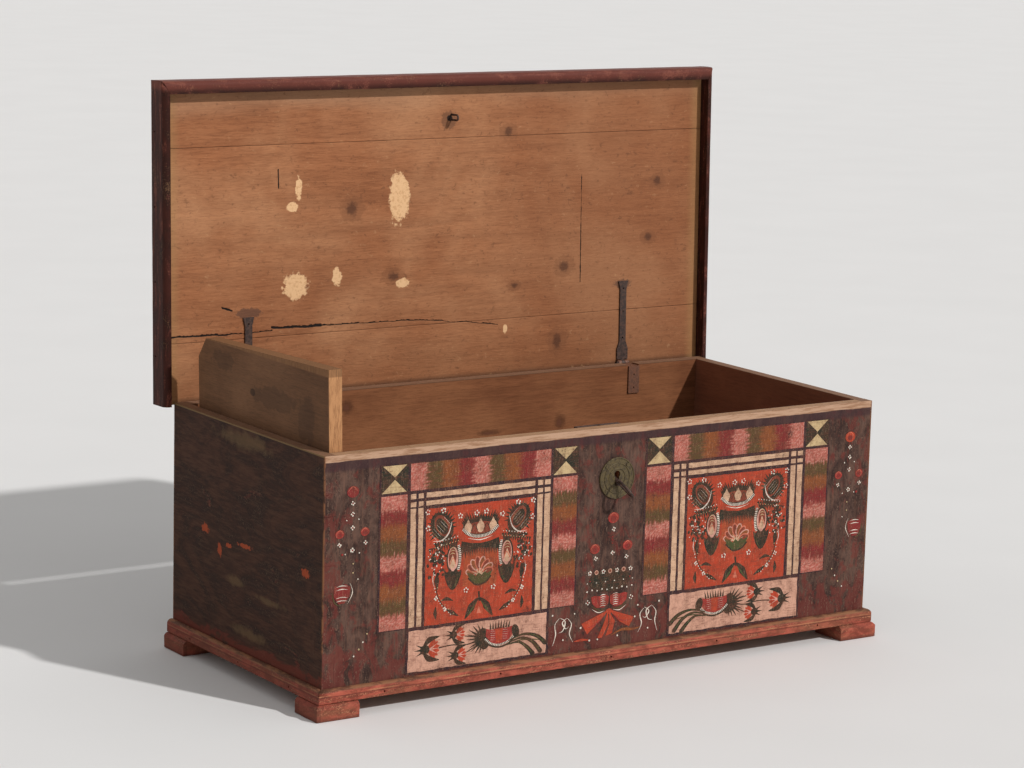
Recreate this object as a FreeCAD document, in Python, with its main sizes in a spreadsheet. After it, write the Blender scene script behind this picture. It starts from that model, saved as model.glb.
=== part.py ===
"""A painted board chest on block feet, with a hinged lid, a till and a key lock.

The chest stands on the floor at z = 0 and its front looks along -Y. The origin is under the
middle of the carcass. Every size is in millimetres and stands once in the sheet below. The
lid, the lid of the till and the key are built about their own pivots and then turned to the
pose in which the chest stands open.
"""
import FreeCAD, Part
import os
import re

# The driving dimensions: name, value, meaning.
SIZES = [
    ("width", 1200.0, "carcass, outside, left to right"),
    ("depth", 550.0, "carcass, outside, front to back"),
    ("rim_height", 460.0, "floor to the top edge of the carcass"),
    ("board", 24.0, "thickness of the four wall boards"),
    ("tail_count", 5.0, "dovetails at each corner"),
    ("tail_share", 0.56, "part of a dovetail's pitch that the tail takes"),
    ("tail_flare", 4.0, "widening of a tail on each side, root to end"),
    ("bottom_thick", 18.0, "bottom boards"),
    ("bottom_count", 3.0, "bottom boards, side by side"),
    ("foot_height", 29.0, "block feet"),
    ("foot_wide", 86.0, "block feet, left to right"),
    ("foot_deep", 78.0, "block feet, front to back"),
    ("foot_out", 6.5, "block feet, proud of the plinth"),
    ("foot_bevel", 6.0, "bevel along a foot's outer top edges"),
    ("plinth_high", 25.0, "plinth moulding"),
    ("plinth_thick", 12.5, "plinth moulding"),
    ("plinth_round", 9.0, "rounding of the plinth's upper edge"),
    ("lid_thick", 30.0, "lid boards"),
    ("lid_front_board", 100.0, "width of the lid's front board"),
    ("lid_rear_board", 113.0, "width of the lid's rear board"),
    ("lid_front_gap", 2.0, "carcass front to the inside of the lid's front moulding"),
    ("lid_side_gap", 7.0, "carcass side to the inside of the lid's side mouldings"),
    ("lid_back", 20.0, "overhang of the lid behind the carcass"),
    ("moulding_thick", 14.0, "side mouldings of the lid"),
    ("moulding_front", 24.0, "thickness of the lid's front moulding"),
    ("lip_drop", 23.0, "lid mouldings, reach below the lid's underside"),
    ("moulding_round", 10.0, "rounding of the mouldings' lower outer edge"),
    ("moulding_nose", 5.0, "rounding of the mouldings' upper outer edge"),
    ("open_angle", 91.4, "lid, from closed to fully open"),
    ("free_gap", 0.3, "air between pieces that move past each other"),
    ("pin_fit", 0.05, "radial clearance of a turning pin"),
    ("hinge_inset_left", 164.0, "left end of the carcass to the middle of the left hinge"),
    ("hinge_inset_right", 180.5, "right end of the carcass to the middle of the right hinge"),
    ("hinge_back", 15.0, "hinge pin's axis behind the carcass"),
    ("iron_thick", 3.0, "hinge iron"),
    ("hinge_wide", 26.0, "hinge iron, where it is widest"),
    ("strap_shank", 15.0, "hinge strap, width of its shank"),
    ("strap_tail", 23.0, "hinge strap, width of its flared end"),
    ("strap_reach_left", 148.0, "left hinge strap, pin's axis to its end"),
    ("strap_reach_right", 166.0, "right hinge strap, pin's axis to its end"),
    ("strap_base", 44.0, "hinge strap, pin's axis to the end of its wide base"),
    ("strap_flare", 16.0, "hinge strap, length of its flared end"),
    ("knuckle_radius", 6.0, "hinge knuckles"),
    ("hinge_pin_radius", 3.0, "hinge pins"),
    ("knuckle_wide", 8.0, "each of a hinge's three knuckles"),
    ("leaf_drop", 58.0, "hinge leaf, reach down the inside of the back"),
    ("nail_radius", 1.6, "shank of every nail"),
    ("nail_head", 3.6, "radius of a nail's head"),
    ("head_thick", 1.6, "thickness of a nail's head"),
    ("nail_length", 17.0, "shank of every nail"),
    ("till_lid_wide", 205.0, "till lid, pivot to its free edge at the front"),
    ("till_taper", 12.0, "till lid, narrower by this at its rear end"),
    ("till_lid_thick", 26.0, "till lid"),
    ("till_lid_low", 62.0, "till lid's pivot below the rim"),
    ("till_lean", 1.4, "raised till lid, past upright"),
    ("till_front_gap", 2.0, "till lid to the front board"),
    ("till_rear_gap", 28.0, "till lid to the back board"),
    ("till_corner_long", 30.0, "cut rear corner of the till lid, along its length"),
    ("till_corner_wide", 37.0, "cut rear corner of the till lid, across"),
    ("till_pin_radius", 6.0, "wooden pivots of the till lid"),
    ("till_pin_in", 12.0, "wooden pivots, reach into the boards"),
    ("till_board", 14.0, "till's side and bottom boards"),
    ("till_high", 150.0, "height of the till's side board"),
    ("groove", 6.0, "depth of the grooves that hold the till"),
    ("lock_aside", 8.0, "lock and key, right of the carcass's middle"),
    ("key_drop", 94.0, "rim to the middle of the keyhole"),
    ("key_droop", 20.0, "how far the key hangs below level"),
    ("key_roll", -42.0, "turn of the key's bow from upright"),
    ("shank_radius", 4.0, "key shank"),
    ("shank_out", 12.0, "key shank in front of the board, up to the bow"),
    ("bow_long", 46.0, "key bow, along the shank"),
    ("bow_wide", 33.0, "key bow, across"),
    ("bow_bar", 5.0, "key bow, thickness of its ring"),
    ("bit_reach", 15.0, "key bit, axis to its end"),
    ("bit_long", 12.0, "key bit, along the shank"),
    ("bit_thick", 4.0, "key bit"),
    ("keyhole_radius", 6.5, "round part of the keyhole"),
    ("keyhole_slot", 8.6, "width of the keyhole's slot"),
    ("keyhole_rise", 7.0, "round part above the keyhole's middle"),
    ("keyhole_fall", 14.0, "slot's end below the keyhole's middle"),
    ("scutcheon_radius", 38.0, "round escutcheon"),
    ("scutcheon_thick", 2.0, "round escutcheon"),
    ("scutcheon_bead", 1.2, "radius of its raised rings"),
    ("lock_wide", 96.0, "lock case"),
    ("lock_high", 108.0, "lock case"),
    ("lock_deep", 46.0, "lock case, with its plate"),
    ("lock_top", 8.0, "rim to the top of the lock case"),
    ("lock_sheet", 2.0, "sheet iron of the lock"),
    ("lock_flange", 12.0, "lock plate, beyond the case on each side"),
    ("bolt_thick", 4.0, "lock bolt"),
    ("bolt_travel", 14.0, "slide of the bolt"),
    ("bolt_tongue", 7.0, "height of the bolt's tongue"),
    ("staple_back", 58.0, "carcass front to the middle of the lid's staple"),
    ("staple_wide", 10.0, "lid's staple, between the middles of its legs"),
    ("staple_rod", 2.0, "radius of the staple's rod"),
    ("staple_drop", 26.0, "lid's staple, below the lid"),
    ("overrun", 20.0, "how far a cutter passes what it cuts"),
]
NAMES = {name for name, _, _ in SIZES}

doc = FreeCAD.newDocument("painted_chest")
sheet = doc.addObject("Spreadsheet::Sheet", "sizes")
for row, (name, value, meaning) in enumerate(SIZES, 1):
    sheet.set(f"A{row}", name)
    sheet.set(f"B{row}", str(value))
    sheet.setAlias(f"B{row}", name)
    sheet.set(f"C{row}", meaning)
doc.recompute()

# Places that several pieces share, worked out from the sheet.
LEFT = "(-width / 2)"
FRONT = "(-depth / 2)"
BACK = "(depth / 2)"
INNER_LEFT = "(board - width / 2)"
INNER_FRONT = "(board - depth / 2)"
INNER_BACK = "(depth / 2 - board)"
HINGE_Y = "(depth / 2 + hinge_back)"
HINGE_Z = "(rim_height + free_gap / 2 - iron_thick)"
KEY_Z = "(rim_height - key_drop)"
TILL_LID_Z = "(rim_height - till_lid_low)"
TILL_LID_X = (
    "(board - width / 2 + till_lid_thick / 2 / cos(till_lean)"
    " + till_lid_low * tan(till_lean) + free_gap)"
)
TILL_RIGHT = f"({TILL_LID_X} + till_lid_wide - till_taper)"
TILL_TOP = f"({TILL_LID_Z} - till_lid_thick / 2 - free_gap)"
STAPLE_Y = f"({FRONT} + staple_back)"
CARCASS_Z = ("foot_height", "rim_height")
PLINTH_NAIL = "(nail_length * 3 / 2)"
MOULDING_NAIL = "(nail_length * 2)"
BOTTOM_NAIL = "(board * 7 / 4)"

# Where nails and rings stand, as shares of what they are set out along.
LEAF_NAIL_SHARES = (0.34, 0.8)
STRAP_NAIL_SHARES = (0.06, 0.5, 0.88)
LOCK_NAIL_SHARES = (0.12, 0.88)
RING_SHARES = (1, 0.74, 0.48)
ROUND_SHARE = 0.45

# How many nails stand in each row.
PLINTH_FRONT_NAILS = 5
PLINTH_SIDE_NAILS = 3
MOULDING_FRONT_NAILS = 6
MOULDING_SIDE_NAILS = 4

SIDES = (("left", -1), ("right", 1))
SMALL = 0.01

parts = []


def number(name):
    """Returns the value of one size."""
    return float(sheet.get(name))


def linked(text):
    """Points each size's name in an expression at the sheet."""
    return re.sub(r"[a-z_]+", lambda m: f"sizes.{m[0]}" if m[0] in NAMES else m[0], str(text))


def bind(item, **settings):
    """Binds properties of an object to expressions."""
    for prop, text in settings.items():
        item.setExpression(prop, linked(text))
    return item


def place(item, x=0, y=0, z=0):
    """Binds an object's place."""
    for axis, text in zip("xyz", (x, y, z)):
        item.setExpression(f"Placement.Base.{axis}", linked(text))
    return item


def turn(item, axis, angle):
    """Binds an object's turn about an axis through its own origin."""
    item.Placement.Rotation = FreeCAD.Rotation(FreeCAD.Vector(*axis), 1)
    item.setExpression("Placement.Rotation.Angle", linked(angle))
    return item


def box(name, xs, ys, zs):
    """Makes a box from its two ends along each axis."""
    item = doc.addObject("Part::Box", name)
    spans = [f"({high}) - ({low})" for low, high in (xs, ys, zs)]
    bind(item, Length=spans[0], Width=spans[1], Height=spans[2])
    return place(item, xs[0], ys[0], zs[0])


def wedge(name, ys, xs_front, xs_back, zs_front, zs_back):
    """Makes a block whose width and height change from its front to its back."""
    item = doc.addObject("Part::Wedge", name)
    bind(item, Ymin=ys[0], Ymax=ys[1])
    bind(item, Xmin=xs_front[0], Xmax=xs_front[1], X2min=xs_back[0], X2max=xs_back[1])
    return bind(item, Zmin=zs_front[0], Zmax=zs_front[1], Z2min=zs_back[0], Z2max=zs_back[1])


def rod(name, radius, ends, centre, along="z"):
    """Makes a round rod between two ends along an axis, centred on the other two."""
    item = doc.addObject("Part::Cylinder", name)
    bind(item, Radius=radius, Height=f"({ends[1]}) - ({ends[0]})")
    if along == "x":
        item.Placement.Rotation = FreeCAD.Rotation(FreeCAD.Vector(0, 1, 0), 90)
        return place(item, ends[0], centre[0], centre[1])
    if along == "y":
        item.Placement.Rotation = FreeCAD.Rotation(FreeCAD.Vector(1, 0, 0), -90)
        return place(item, centre[0], ends[0], centre[1])
    return place(item, centre[0], centre[1], ends[0])


def fuse(name, pieces):
    """Joins pieces into one solid."""
    item = doc.addObject("Part::MultiFuse", name)
    item.Shapes = pieces
    item.Refine = True
    return item


def common(name, first, second):
    """Keeps what two pieces share."""
    item = doc.addObject("Part::MultiCommon", name)
    item.Shapes = [first, second]
    return item


def cut(name, base, tools):
    """Takes the tools away from a piece."""
    tool = tools[0]
    if len(tools) > 1:
        tool = doc.addObject("Part::Compound", f"{name}_cutters")
        tool.Links = tools
    item = doc.addObject("Part::Cut", name)
    item.Base = base
    item.Tool = tool
    item.Refine = True
    return item


def group(name, pieces):
    """Gathers separate solids under one name."""
    item = doc.addObject("Part::Compound", name)
    item.Links = pieces
    return item


def soften(name, base, radius, chosen, kind="Fillet"):
    """Rounds or bevels the edges of a piece that the test on their boxes picks."""
    doc.recompute()
    item = doc.addObject(f"Part::{kind}", name)
    item.Base = base
    edges = enumerate(base.Shape.Edges, 1)
    item.Edges = [(index, radius, radius) for index, edge in edges if chosen(edge.BoundBox)]
    return item


def torus(name, ring, bead, x, y, z):
    """Makes a ring about the Y direction."""
    item = doc.addObject("Part::Torus", name)
    bind(item, Radius1=ring, Radius2=bead)
    item.Placement.Rotation = FreeCAD.Rotation(FreeCAD.Vector(1, 0, 0), -90)
    return place(item, x, y, z)


def nail(name, point, along, sense, length="nail_length"):
    """Makes a nail whose head sits at a point and whose shank runs along an axis."""
    axis = "xyz".index(along)
    start = point[axis]
    centre = [text for index, text in enumerate(point) if index != axis]
    if sense > 0:
        shank_ends, head_ends = (start, f"{start} + {length}"), (f"{start} - head_thick", start)
    else:
        shank_ends, head_ends = (f"{start} - {length}", start), (start, f"{start} + head_thick")
    shank = rod(f"{name}_shank", "nail_radius", shank_ends, centre, along)
    head = rod(f"{name}_head", "nail_head", head_ends, centre, along)
    return fuse(name, [shank, head])


def both_ways(side, low, high):
    """Returns a span of x for the right side, or its mirror image for the left."""
    return (low, high) if side > 0 else (f"-({high})", f"-({low})")


def about_lock(low, high):
    """Returns a span of x about the middle of the lock."""
    return (f"lock_aside + ({low})", f"lock_aside + ({high})")


def in_row(length, index, count):
    """Returns the place of one of several things spread evenly along a length about zero."""
    return f"(({index} - ({count} - 1) / 2) * {length} / {count})"


def keep(item, name):
    """Names a finished sub-part."""
    item.Label = name
    parts.append(item)
    return item


def dovetails(side_name, side):
    """Makes one side board's tails, for its front and its back corner."""
    xs = both_ways(side, "width / 2 - board", "width / 2")
    pitch = "(rim_height - foot_height) / tail_count"
    tails = []
    for index in range(int(number("tail_count"))):
        middle = f"(foot_height + ({index} + 1 / 2) * {pitch})"
        half = f"({pitch} * tail_share / 2)"
        wide = (f"{middle} - {half}", f"{middle} + {half}")
        root = (f"{middle} - {half} + tail_flare", f"{middle} + {half} - tail_flare")
        name = f"{side_name}_tail_{index + 1}"
        tails.append(wedge(f"{name}_front", (FRONT, INNER_FRONT), xs, xs, wide, root))
        tails.append(wedge(f"{name}_back", (INNER_BACK, BACK), xs, xs, root, wide))
    return tails


def make_carcass_nails():
    """Makes the nails of the plinth, the feet and the bottom, gathered by what they hold."""
    plinth, feet, bottom = [], [], []
    plinth_z = "(foot_height + plinth_high / 3)"
    bottom_z = "(foot_height + bottom_thick * 2 / 3)"
    for index in range(PLINTH_FRONT_NAILS):
        x = in_row("width", index, PLINTH_FRONT_NAILS)
        name = f"plinth_nail_front_{index + 1}"
        plinth.append(nail(name, (x, f"{FRONT} - plinth_thick", plinth_z), "y", 1, PLINTH_NAIL))
    for side_name, side in SIDES:
        outside = f"{side} * (width / 2 + plinth_thick)"
        for index in range(PLINTH_SIDE_NAILS):
            y = in_row("depth", index, PLINTH_SIDE_NAILS)
            name = f"plinth_nail_{side_name}_{index + 1}"
            plinth.append(nail(name, (outside, y, plinth_z), "x", -side, PLINTH_NAIL))
        # Two nails hold each end of a bottom board.
        sunk = f"{side} * (width / 2 - head_thick)"
        bottom_nails_in_row = 2 * int(number("bottom_count"))
        for index in range(bottom_nails_in_row):
            y = in_row("(depth - 2 * board)", index, bottom_nails_in_row)
            name = f"bottom_nail_{side_name}_{index + 1}"
            bottom.append(nail(name, (sunk, y, bottom_z), "x", -side, BOTTOM_NAIL))
        for end_name, end in (("front", -1), ("rear", 1)):
            for index in (1, 2):
                x = f"{side} * (width / 2 - foot_wide * {index} / 4)"
                y = f"{end} * (depth / 2 - board / 2 * {index})"
                name = f"foot_nail_{end_name}_{side_name}_{index}"
                long = "(foot_height - head_thick + board * 2 / 3)"
                feet.append(nail(name, (x, y, "head_thick"), "z", 1, long))
    return plinth, feet, bottom


def make_hinge(side_name, side):
    """Makes one hinge: its leaf, pin and nails, and the strap and nails that ride on the lid."""
    middle = f"({side} * (width / 2 - hinge_inset_{side_name}))"
    edge = "(knuckle_radius + iron_thick / 2)"
    pieces = {}

    def across(half):
        """Returns a span of x about the hinge's middle."""
        return (f"{middle} - {half}", f"{middle} + {half}")

    # The leaf lies in a notch in the back board's top and turns down its inside.
    leaf_z = ("rim_height - 2 * iron_thick", "rim_height - iron_thick")
    wide = across("hinge_wide / 2")
    name = f"hinge_leaf_{side_name}"
    plate_y = (f"{INNER_BACK} - iron_thick", f"{HINGE_Y} - {edge}")
    plate = box(f"{name}_plate", wide, plate_y, leaf_z)
    leg_z = ("rim_height - leaf_drop", leaf_z[1])
    leg = box(f"{name}_leg", wide, (f"{INNER_BACK} - iron_thick", INNER_BACK), leg_z)
    solids = [plate, leg]
    axis = (HINGE_Y, HINGE_Z)
    arm_y = (f"{HINGE_Y} - {edge}", HINGE_Y)
    near = "(knuckle_wide / 2 + free_gap)"
    for end_name, end in SIDES:
        xs = tuple(f"{middle} + {text}" for text in both_ways(end, near, f"{near} + knuckle_wide"))
        solids.append(box(f"{name}_arm_{end_name}", xs, arm_y, leaf_z))
        solids.append(rod(f"{name}_knuckle_{end_name}", "knuckle_radius", xs, axis, "x"))
    half = "(3 / 2 * knuckle_wide + 2 * free_gap)"
    bore_radius = "hinge_pin_radius + pin_fit"
    bore = rod(f"{name}_bore", bore_radius, across(f"{half} * 2"), axis, "x")
    nails = []
    for index, share in enumerate(LEAF_NAIL_SHARES, 1):
        point = (middle, f"{INNER_BACK} - iron_thick", f"rim_height - leaf_drop * {share}")
        nails.append(nail(f"leaf_nail_{side_name}_{index}", point, "y", 1))
    pieces["leaf"] = cut(name, fuse(f"{name}_whole", solids), [bore] + nails)
    pieces["leaf_nails"] = nails
    pieces["notch"] = box(
        f"{name}_notch",
        across("(hinge_wide / 2 + free_gap)"),
        (f"{INNER_BACK} - overrun", f"{BACK} + overrun"),
        ("rim_height - 2 * iron_thick", "rim_height + overrun"),
    )

    # The pin has a head at each end.
    name = f"hinge_pin_{side_name}"
    shaft = rod(f"{name}_shaft", "hinge_pin_radius", across(half), axis, "x")
    heads = []
    for end_name, end in SIDES:
        xs = tuple(f"{middle} + {text}" for text in both_ways(end, half, f"{half} + head_thick"))
        heads.append(rod(f"{name}_head_{end_name}", "knuckle_radius - head_thick", xs, axis, "x"))
    pieces["pin"] = fuse(name, [shaft] + heads)

    # The strap is made about the pin's axis, lying under the closed lid.
    name = f"hinge_strap_{side_name}"
    strap_z = ("free_gap / 2", "free_gap / 2 + iron_thick")
    neck = "(strap_base * 2 / 3)"
    reach = f"strap_reach_{side_name}"
    shank_end = f"({reach} - strap_flare)"
    shank = across("strap_shank / 2")
    tail = across("strap_tail / 2")
    solids = [
        box(f"{name}_base", wide, (f"-{neck}", f"-{edge}"), strap_z),
        wedge(f"{name}_neck", ("-strap_base", f"-{neck}"), shank, wide, strap_z, strap_z),
        box(f"{name}_shank", shank, (f"-{shank_end}", "-strap_base"), strap_z),
        wedge(f"{name}_tail", (f"-{reach}", f"-{shank_end}"), tail, shank, strap_z, strap_z),
        box(f"{name}_arm", across("knuckle_wide / 2"), (f"-{edge}", 0), strap_z),
        rod(f"{name}_knuckle", "knuckle_radius", across("knuckle_wide / 2"), (0, 0), "x"),
    ]
    bore = rod(f"{name}_bore", bore_radius, across("hinge_wide"), (0, 0), "x")
    nails = []
    for index, share in enumerate(STRAP_NAIL_SHARES, 1):
        y = f"-(strap_base + ({reach} - strap_base) * {share})"
        nails.append(nail(f"strap_nail_{side_name}_{index}", (middle, y, "free_gap / 2"), "z", 1))
    pieces["strap"] = cut(name, fuse(f"{name}_whole", solids), [bore] + nails)
    pieces["strap_nails"] = nails
    return pieces


def make_walls(notches, nails):
    """Makes the four wall boards, dovetailed together, and the till that is let into them."""
    xs = (LEFT, "width / 2")
    tails = {side_name: dovetails(side_name, side) for side_name, side in SIDES}
    every_tail = tails["left"] + tails["right"]
    till_y = (f"{INNER_FRONT} - groove", f"{INNER_BACK} + groove")
    till_low = f"({TILL_TOP} - till_high)"
    till_x = (f"{TILL_RIGHT} - till_board", TILL_RIGHT)
    till_side = box("till_side", till_x, till_y, (till_low, TILL_TOP))
    till_xs = (INNER_LEFT, f"{TILL_RIGHT} - till_board")
    till_bottom = box("till_bottom", till_xs, till_y, (till_low, f"{till_low} + till_board"))
    sockets = []
    socket_y = {
        "front": (f"{INNER_FRONT} - till_pin_in - free_gap", INNER_FRONT),
        "back": (INNER_BACK, f"{INNER_BACK} + till_pin_in + free_gap"),
    }
    for end_name, ys in socket_y.items():
        centre = (TILL_LID_X, TILL_LID_Z)
        sockets.append(rod(f"till_socket_{end_name}", "till_pin_radius + pin_fit", ys, centre, "y"))
    front = box("front_slab", xs, (FRONT, INNER_FRONT), CARCASS_Z)
    back = box("back_slab", xs, (INNER_BACK, BACK), CARCASS_Z)
    shared = every_tail + [till_side, till_bottom] + sockets
    keep(cut("front_board", front, shared + [keyhole("front_keyhole")] + nails), "front_board")
    keep(cut("back_board", back, shared + notches + nails), "back_board")
    for side_name, side in SIDES:
        across = both_ways(side, "width / 2 - board", "width / 2")
        slab = box(f"{side_name}_slab", across, (INNER_FRONT, INNER_BACK), CARCASS_Z)
        whole = fuse(f"{side_name}_side_whole", [slab] + tails[side_name])
        keep(cut(f"{side_name}_side_board", whole, nails), f"{side_name}_side_board")
    keep(till_side, "till_side")
    keep(till_bottom, "till_bottom")


def keyhole(name):
    """Makes the keyhole's shape, as long as all that it passes through."""
    ys = (f"{FRONT} - overrun", f"{INNER_FRONT} + overrun")
    centre = ("lock_aside", f"{KEY_Z} + keyhole_rise")
    top = rod(f"{name}_round", "keyhole_radius", ys, centre, "y")
    slot_z = (f"{KEY_Z} - keyhole_fall", f"{KEY_Z} + keyhole_rise")
    slot_x = about_lock("-keyhole_slot / 2", "keyhole_slot / 2")
    slot = box(f"{name}_slot", slot_x, ys, slot_z)
    return fuse(name, [top, slot])


def make_bottom(nails):
    """Makes the bottom boards, which lie side by side between the walls."""
    count = int(number("bottom_count"))
    pitch = "((depth - 2 * board) / bottom_count)"
    xs = (INNER_LEFT, "width / 2 - board")
    for index in range(count):
        ys = (f"{INNER_FRONT} + {index} * {pitch}", f"{INNER_FRONT} + {index + 1} * {pitch}")
        name = f"bottom_board_{index + 1}"
        slab = box(f"{name}_slab", xs, ys, ("foot_height", "foot_height + bottom_thick"))
        keep(cut(name, slab, nails), name)


def make_plinth(nails):
    """Makes the three plinth mouldings, mitred at the front corners."""
    zs = ("foot_height", "foot_height + plinth_high")
    out = "(width / 2 + plinth_thick)"
    ys = (f"{FRONT} - plinth_thick", FRONT)
    far = ("foot_height - overrun", "foot_height + plinth_high + overrun")
    mitre = wedge("plinth_mitre", ys, (f"-{out}", out), (LEFT, "width / 2"), far, far)

    def upper_front(edge):
        """Tells whether an edge runs along the front moulding's upper outer side."""
        return edge.ZMin > whole.ZMax - SMALL and edge.YMax < whole.YMin + SMALL

    def upper_side(edge):
        """Tells whether an edge runs along a side moulding's upper outer side."""
        outside = abs(edge.Center.x) > abs(whole.Center.x) + number("plinth_thick") / 2 - SMALL
        return edge.ZMin > whole.ZMax - SMALL and outside

    bar = box("plinth_front_bar", (f"-{out}", out), ys, zs)
    doc.recompute()
    whole = bar.Shape.BoundBox
    rounded = soften("plinth_front_round", bar, number("plinth_round"), upper_front)
    keep(cut("plinth_front", common("plinth_front_mitred", rounded, mitre), nails), "plinth_front")
    for side_name, side in SIDES:
        name = f"plinth_{side_name}"
        bar = box(f"{name}_bar", both_ways(side, "width / 2", out), (ys[0], BACK), zs)
        doc.recompute()
        whole = bar.Shape.BoundBox
        rounded = soften(f"{name}_round", bar, number("plinth_round"), upper_side)
        keep(cut(name, rounded, [mitre] + nails), name)


def make_feet(nails):
    """Makes the four block feet, bevelled along their two outer top edges."""
    out = "(plinth_thick + foot_out)"
    for end_name, end in (("front", -1), ("rear", 1)):
        for side_name, side in SIDES:
            xs = both_ways(side, f"width / 2 + {out} - foot_wide", f"width / 2 + {out}")
            ys = (f"{FRONT} - {out}", f"{FRONT} - {out} + foot_deep")
            if end > 0:
                ys = (f"{BACK} - foot_deep", BACK)
            name = f"foot_{end_name}_{side_name}"
            block = box(f"{name}_block", xs, ys, (0, "foot_height"))
            doc.recompute()
            whole = block.Shape.BoundBox

            def outer(edge):
                """Tells whether an edge is one of the outer top edges."""
                top = edge.ZMin > whole.ZMax - SMALL
                flank = abs(edge.Center.x) > abs(whole.Center.x) + SMALL
                front = edge.Center.y < whole.Center.y - SMALL and end < 0
                return top and (flank or front)

            bevelled = soften(f"{name}_bevelled", block, number("foot_bevel"), outer, "Chamfer")
            keep(cut(name, bevelled, nails), name)


def make_lock():
    """Makes the lock on the inside of the front, its bolt and the round escutcheon."""
    zs = ("rim_height - lock_top - lock_high", "rim_height - lock_top")
    face = f"({INNER_FRONT} + lock_sheet)"
    rear = f"({INNER_FRONT} + lock_deep)"
    half = "(lock_wide / 2)"
    plate_x = about_lock(f"-({half} + lock_flange)", f"{half} + lock_flange")
    plate = box("lock_plate_sheet", plate_x, (INNER_FRONT, face), zs)
    nails = []
    for side_name, side in SIDES:
        x = f"lock_aside + {side} * ({half} + lock_flange / 2)"
        for index, share in enumerate(LOCK_NAIL_SHARES, 1):
            point = (x, face, f"{zs[1]} - lock_high * {share}")
            nails.append(nail(f"lock_nail_{side_name}_{index}", point, "y", -1))
    keep(cut("lock_plate", plate, [keyhole("plate_keyhole")] + nails), "lock_plate")

    outer = box("lock_case_outer", about_lock(f"-{half}", half), (face, rear), zs)
    inner = box(
        "lock_case_inner",
        about_lock(f"lock_sheet - {half}", f"{half} - lock_sheet"),
        (f"{face} - overrun", f"{rear} - lock_sheet"),
        (f"{zs[0]} + lock_sheet", f"{zs[1]} - lock_sheet"),
    )
    slot_half = "(staple_wide / 2 + 2 * staple_rod)"
    slot = box(
        "lock_case_slot",
        about_lock("-2 * staple_rod", "2 * staple_rod"),
        (f"{STAPLE_Y} - {slot_half}", f"{STAPLE_Y} + {slot_half}"),
        (f"{zs[1]} - overrun / 2", f"{zs[1]} + overrun"),
    )
    keep(cut("lock_case", outer, [inner, slot]), "lock_case")

    # The bolt's tongue passes through the staple of the closed lid when the key is turned.
    bolt_y = (f"{STAPLE_Y} - bolt_thick / 2", f"{STAPLE_Y} + bolt_thick / 2")
    tip = "(lock_aside - 2 * staple_rod)"
    heel = f"({tip} - bolt_travel * 5 / 2)"
    low = "(rim_height + 2 * free_gap - staple_drop + staple_rod + staple_wide / 2)"
    foot = f"({KEY_Z} + bit_reach + bit_long)"
    tongue = box("bolt_tongue_bar", (heel, tip), bolt_y, (low, f"{low} + bolt_tongue"))
    arm = box("bolt_arm", (heel, f"{heel} + bolt_travel * 3 / 2"), bolt_y, (foot, low))
    talon_xs = (f"{heel} + bolt_travel", f"{heel} + bolt_travel * 3 / 2")
    talon_y = (f"{bolt_y[0]} - 4 * bolt_thick", bolt_y[0])
    talon = box("bolt_talon", talon_xs, talon_y, (foot, f"{foot} + bolt_tongue"))
    keep(fuse("lock_bolt", [tongue, arm, talon]), "lock_bolt")
    ledge_xs = (f"lock_aside + lock_sheet - {half}", f"{heel} + bolt_travel * 3")
    ledge_z = (f"{foot} - free_gap - lock_sheet", f"{foot} - free_gap")
    keep(box("bolt_ledge", ledge_xs, (bolt_y[0], f"{rear} - lock_sheet"), ledge_z), "bolt_ledge")

    disc_face = f"({FRONT} - scutcheon_thick)"
    disc = rod("scutcheon_disc", "scutcheon_radius", (disc_face, FRONT), ("lock_aside", KEY_Z), "y")
    rings = []
    for index, share in enumerate(RING_SHARES, 1):
        ring = f"(scutcheon_radius - scutcheon_bead) * {share}"
        name = f"scutcheon_ring_{index}"
        rings.append(torus(name, ring, "scutcheon_bead", "lock_aside", disc_face, KEY_Z))
    pins = []
    reach = "scutcheon_radius * 3 / 5"
    for side_name, side in SIDES:
        for level_name, level in (("low", -1), ("high", 1)):
            point = (f"lock_aside + {side} * {reach}", disc_face, f"{KEY_Z} + {level} * {reach}")
            pins.append(nail(f"scutcheon_pin_{side_name}_{level_name}", point, "y", 1))
    whole = fuse("scutcheon_whole", [disc] + rings)
    keep(cut("escutcheon", whole, [keyhole("scutcheon_keyhole")] + pins), "escutcheon")
    keep(group("escutcheon_pins", pins), "escutcheon_pins")
    keep(group("lock_nails", nails), "lock_nails")
    return nails + pins


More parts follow.
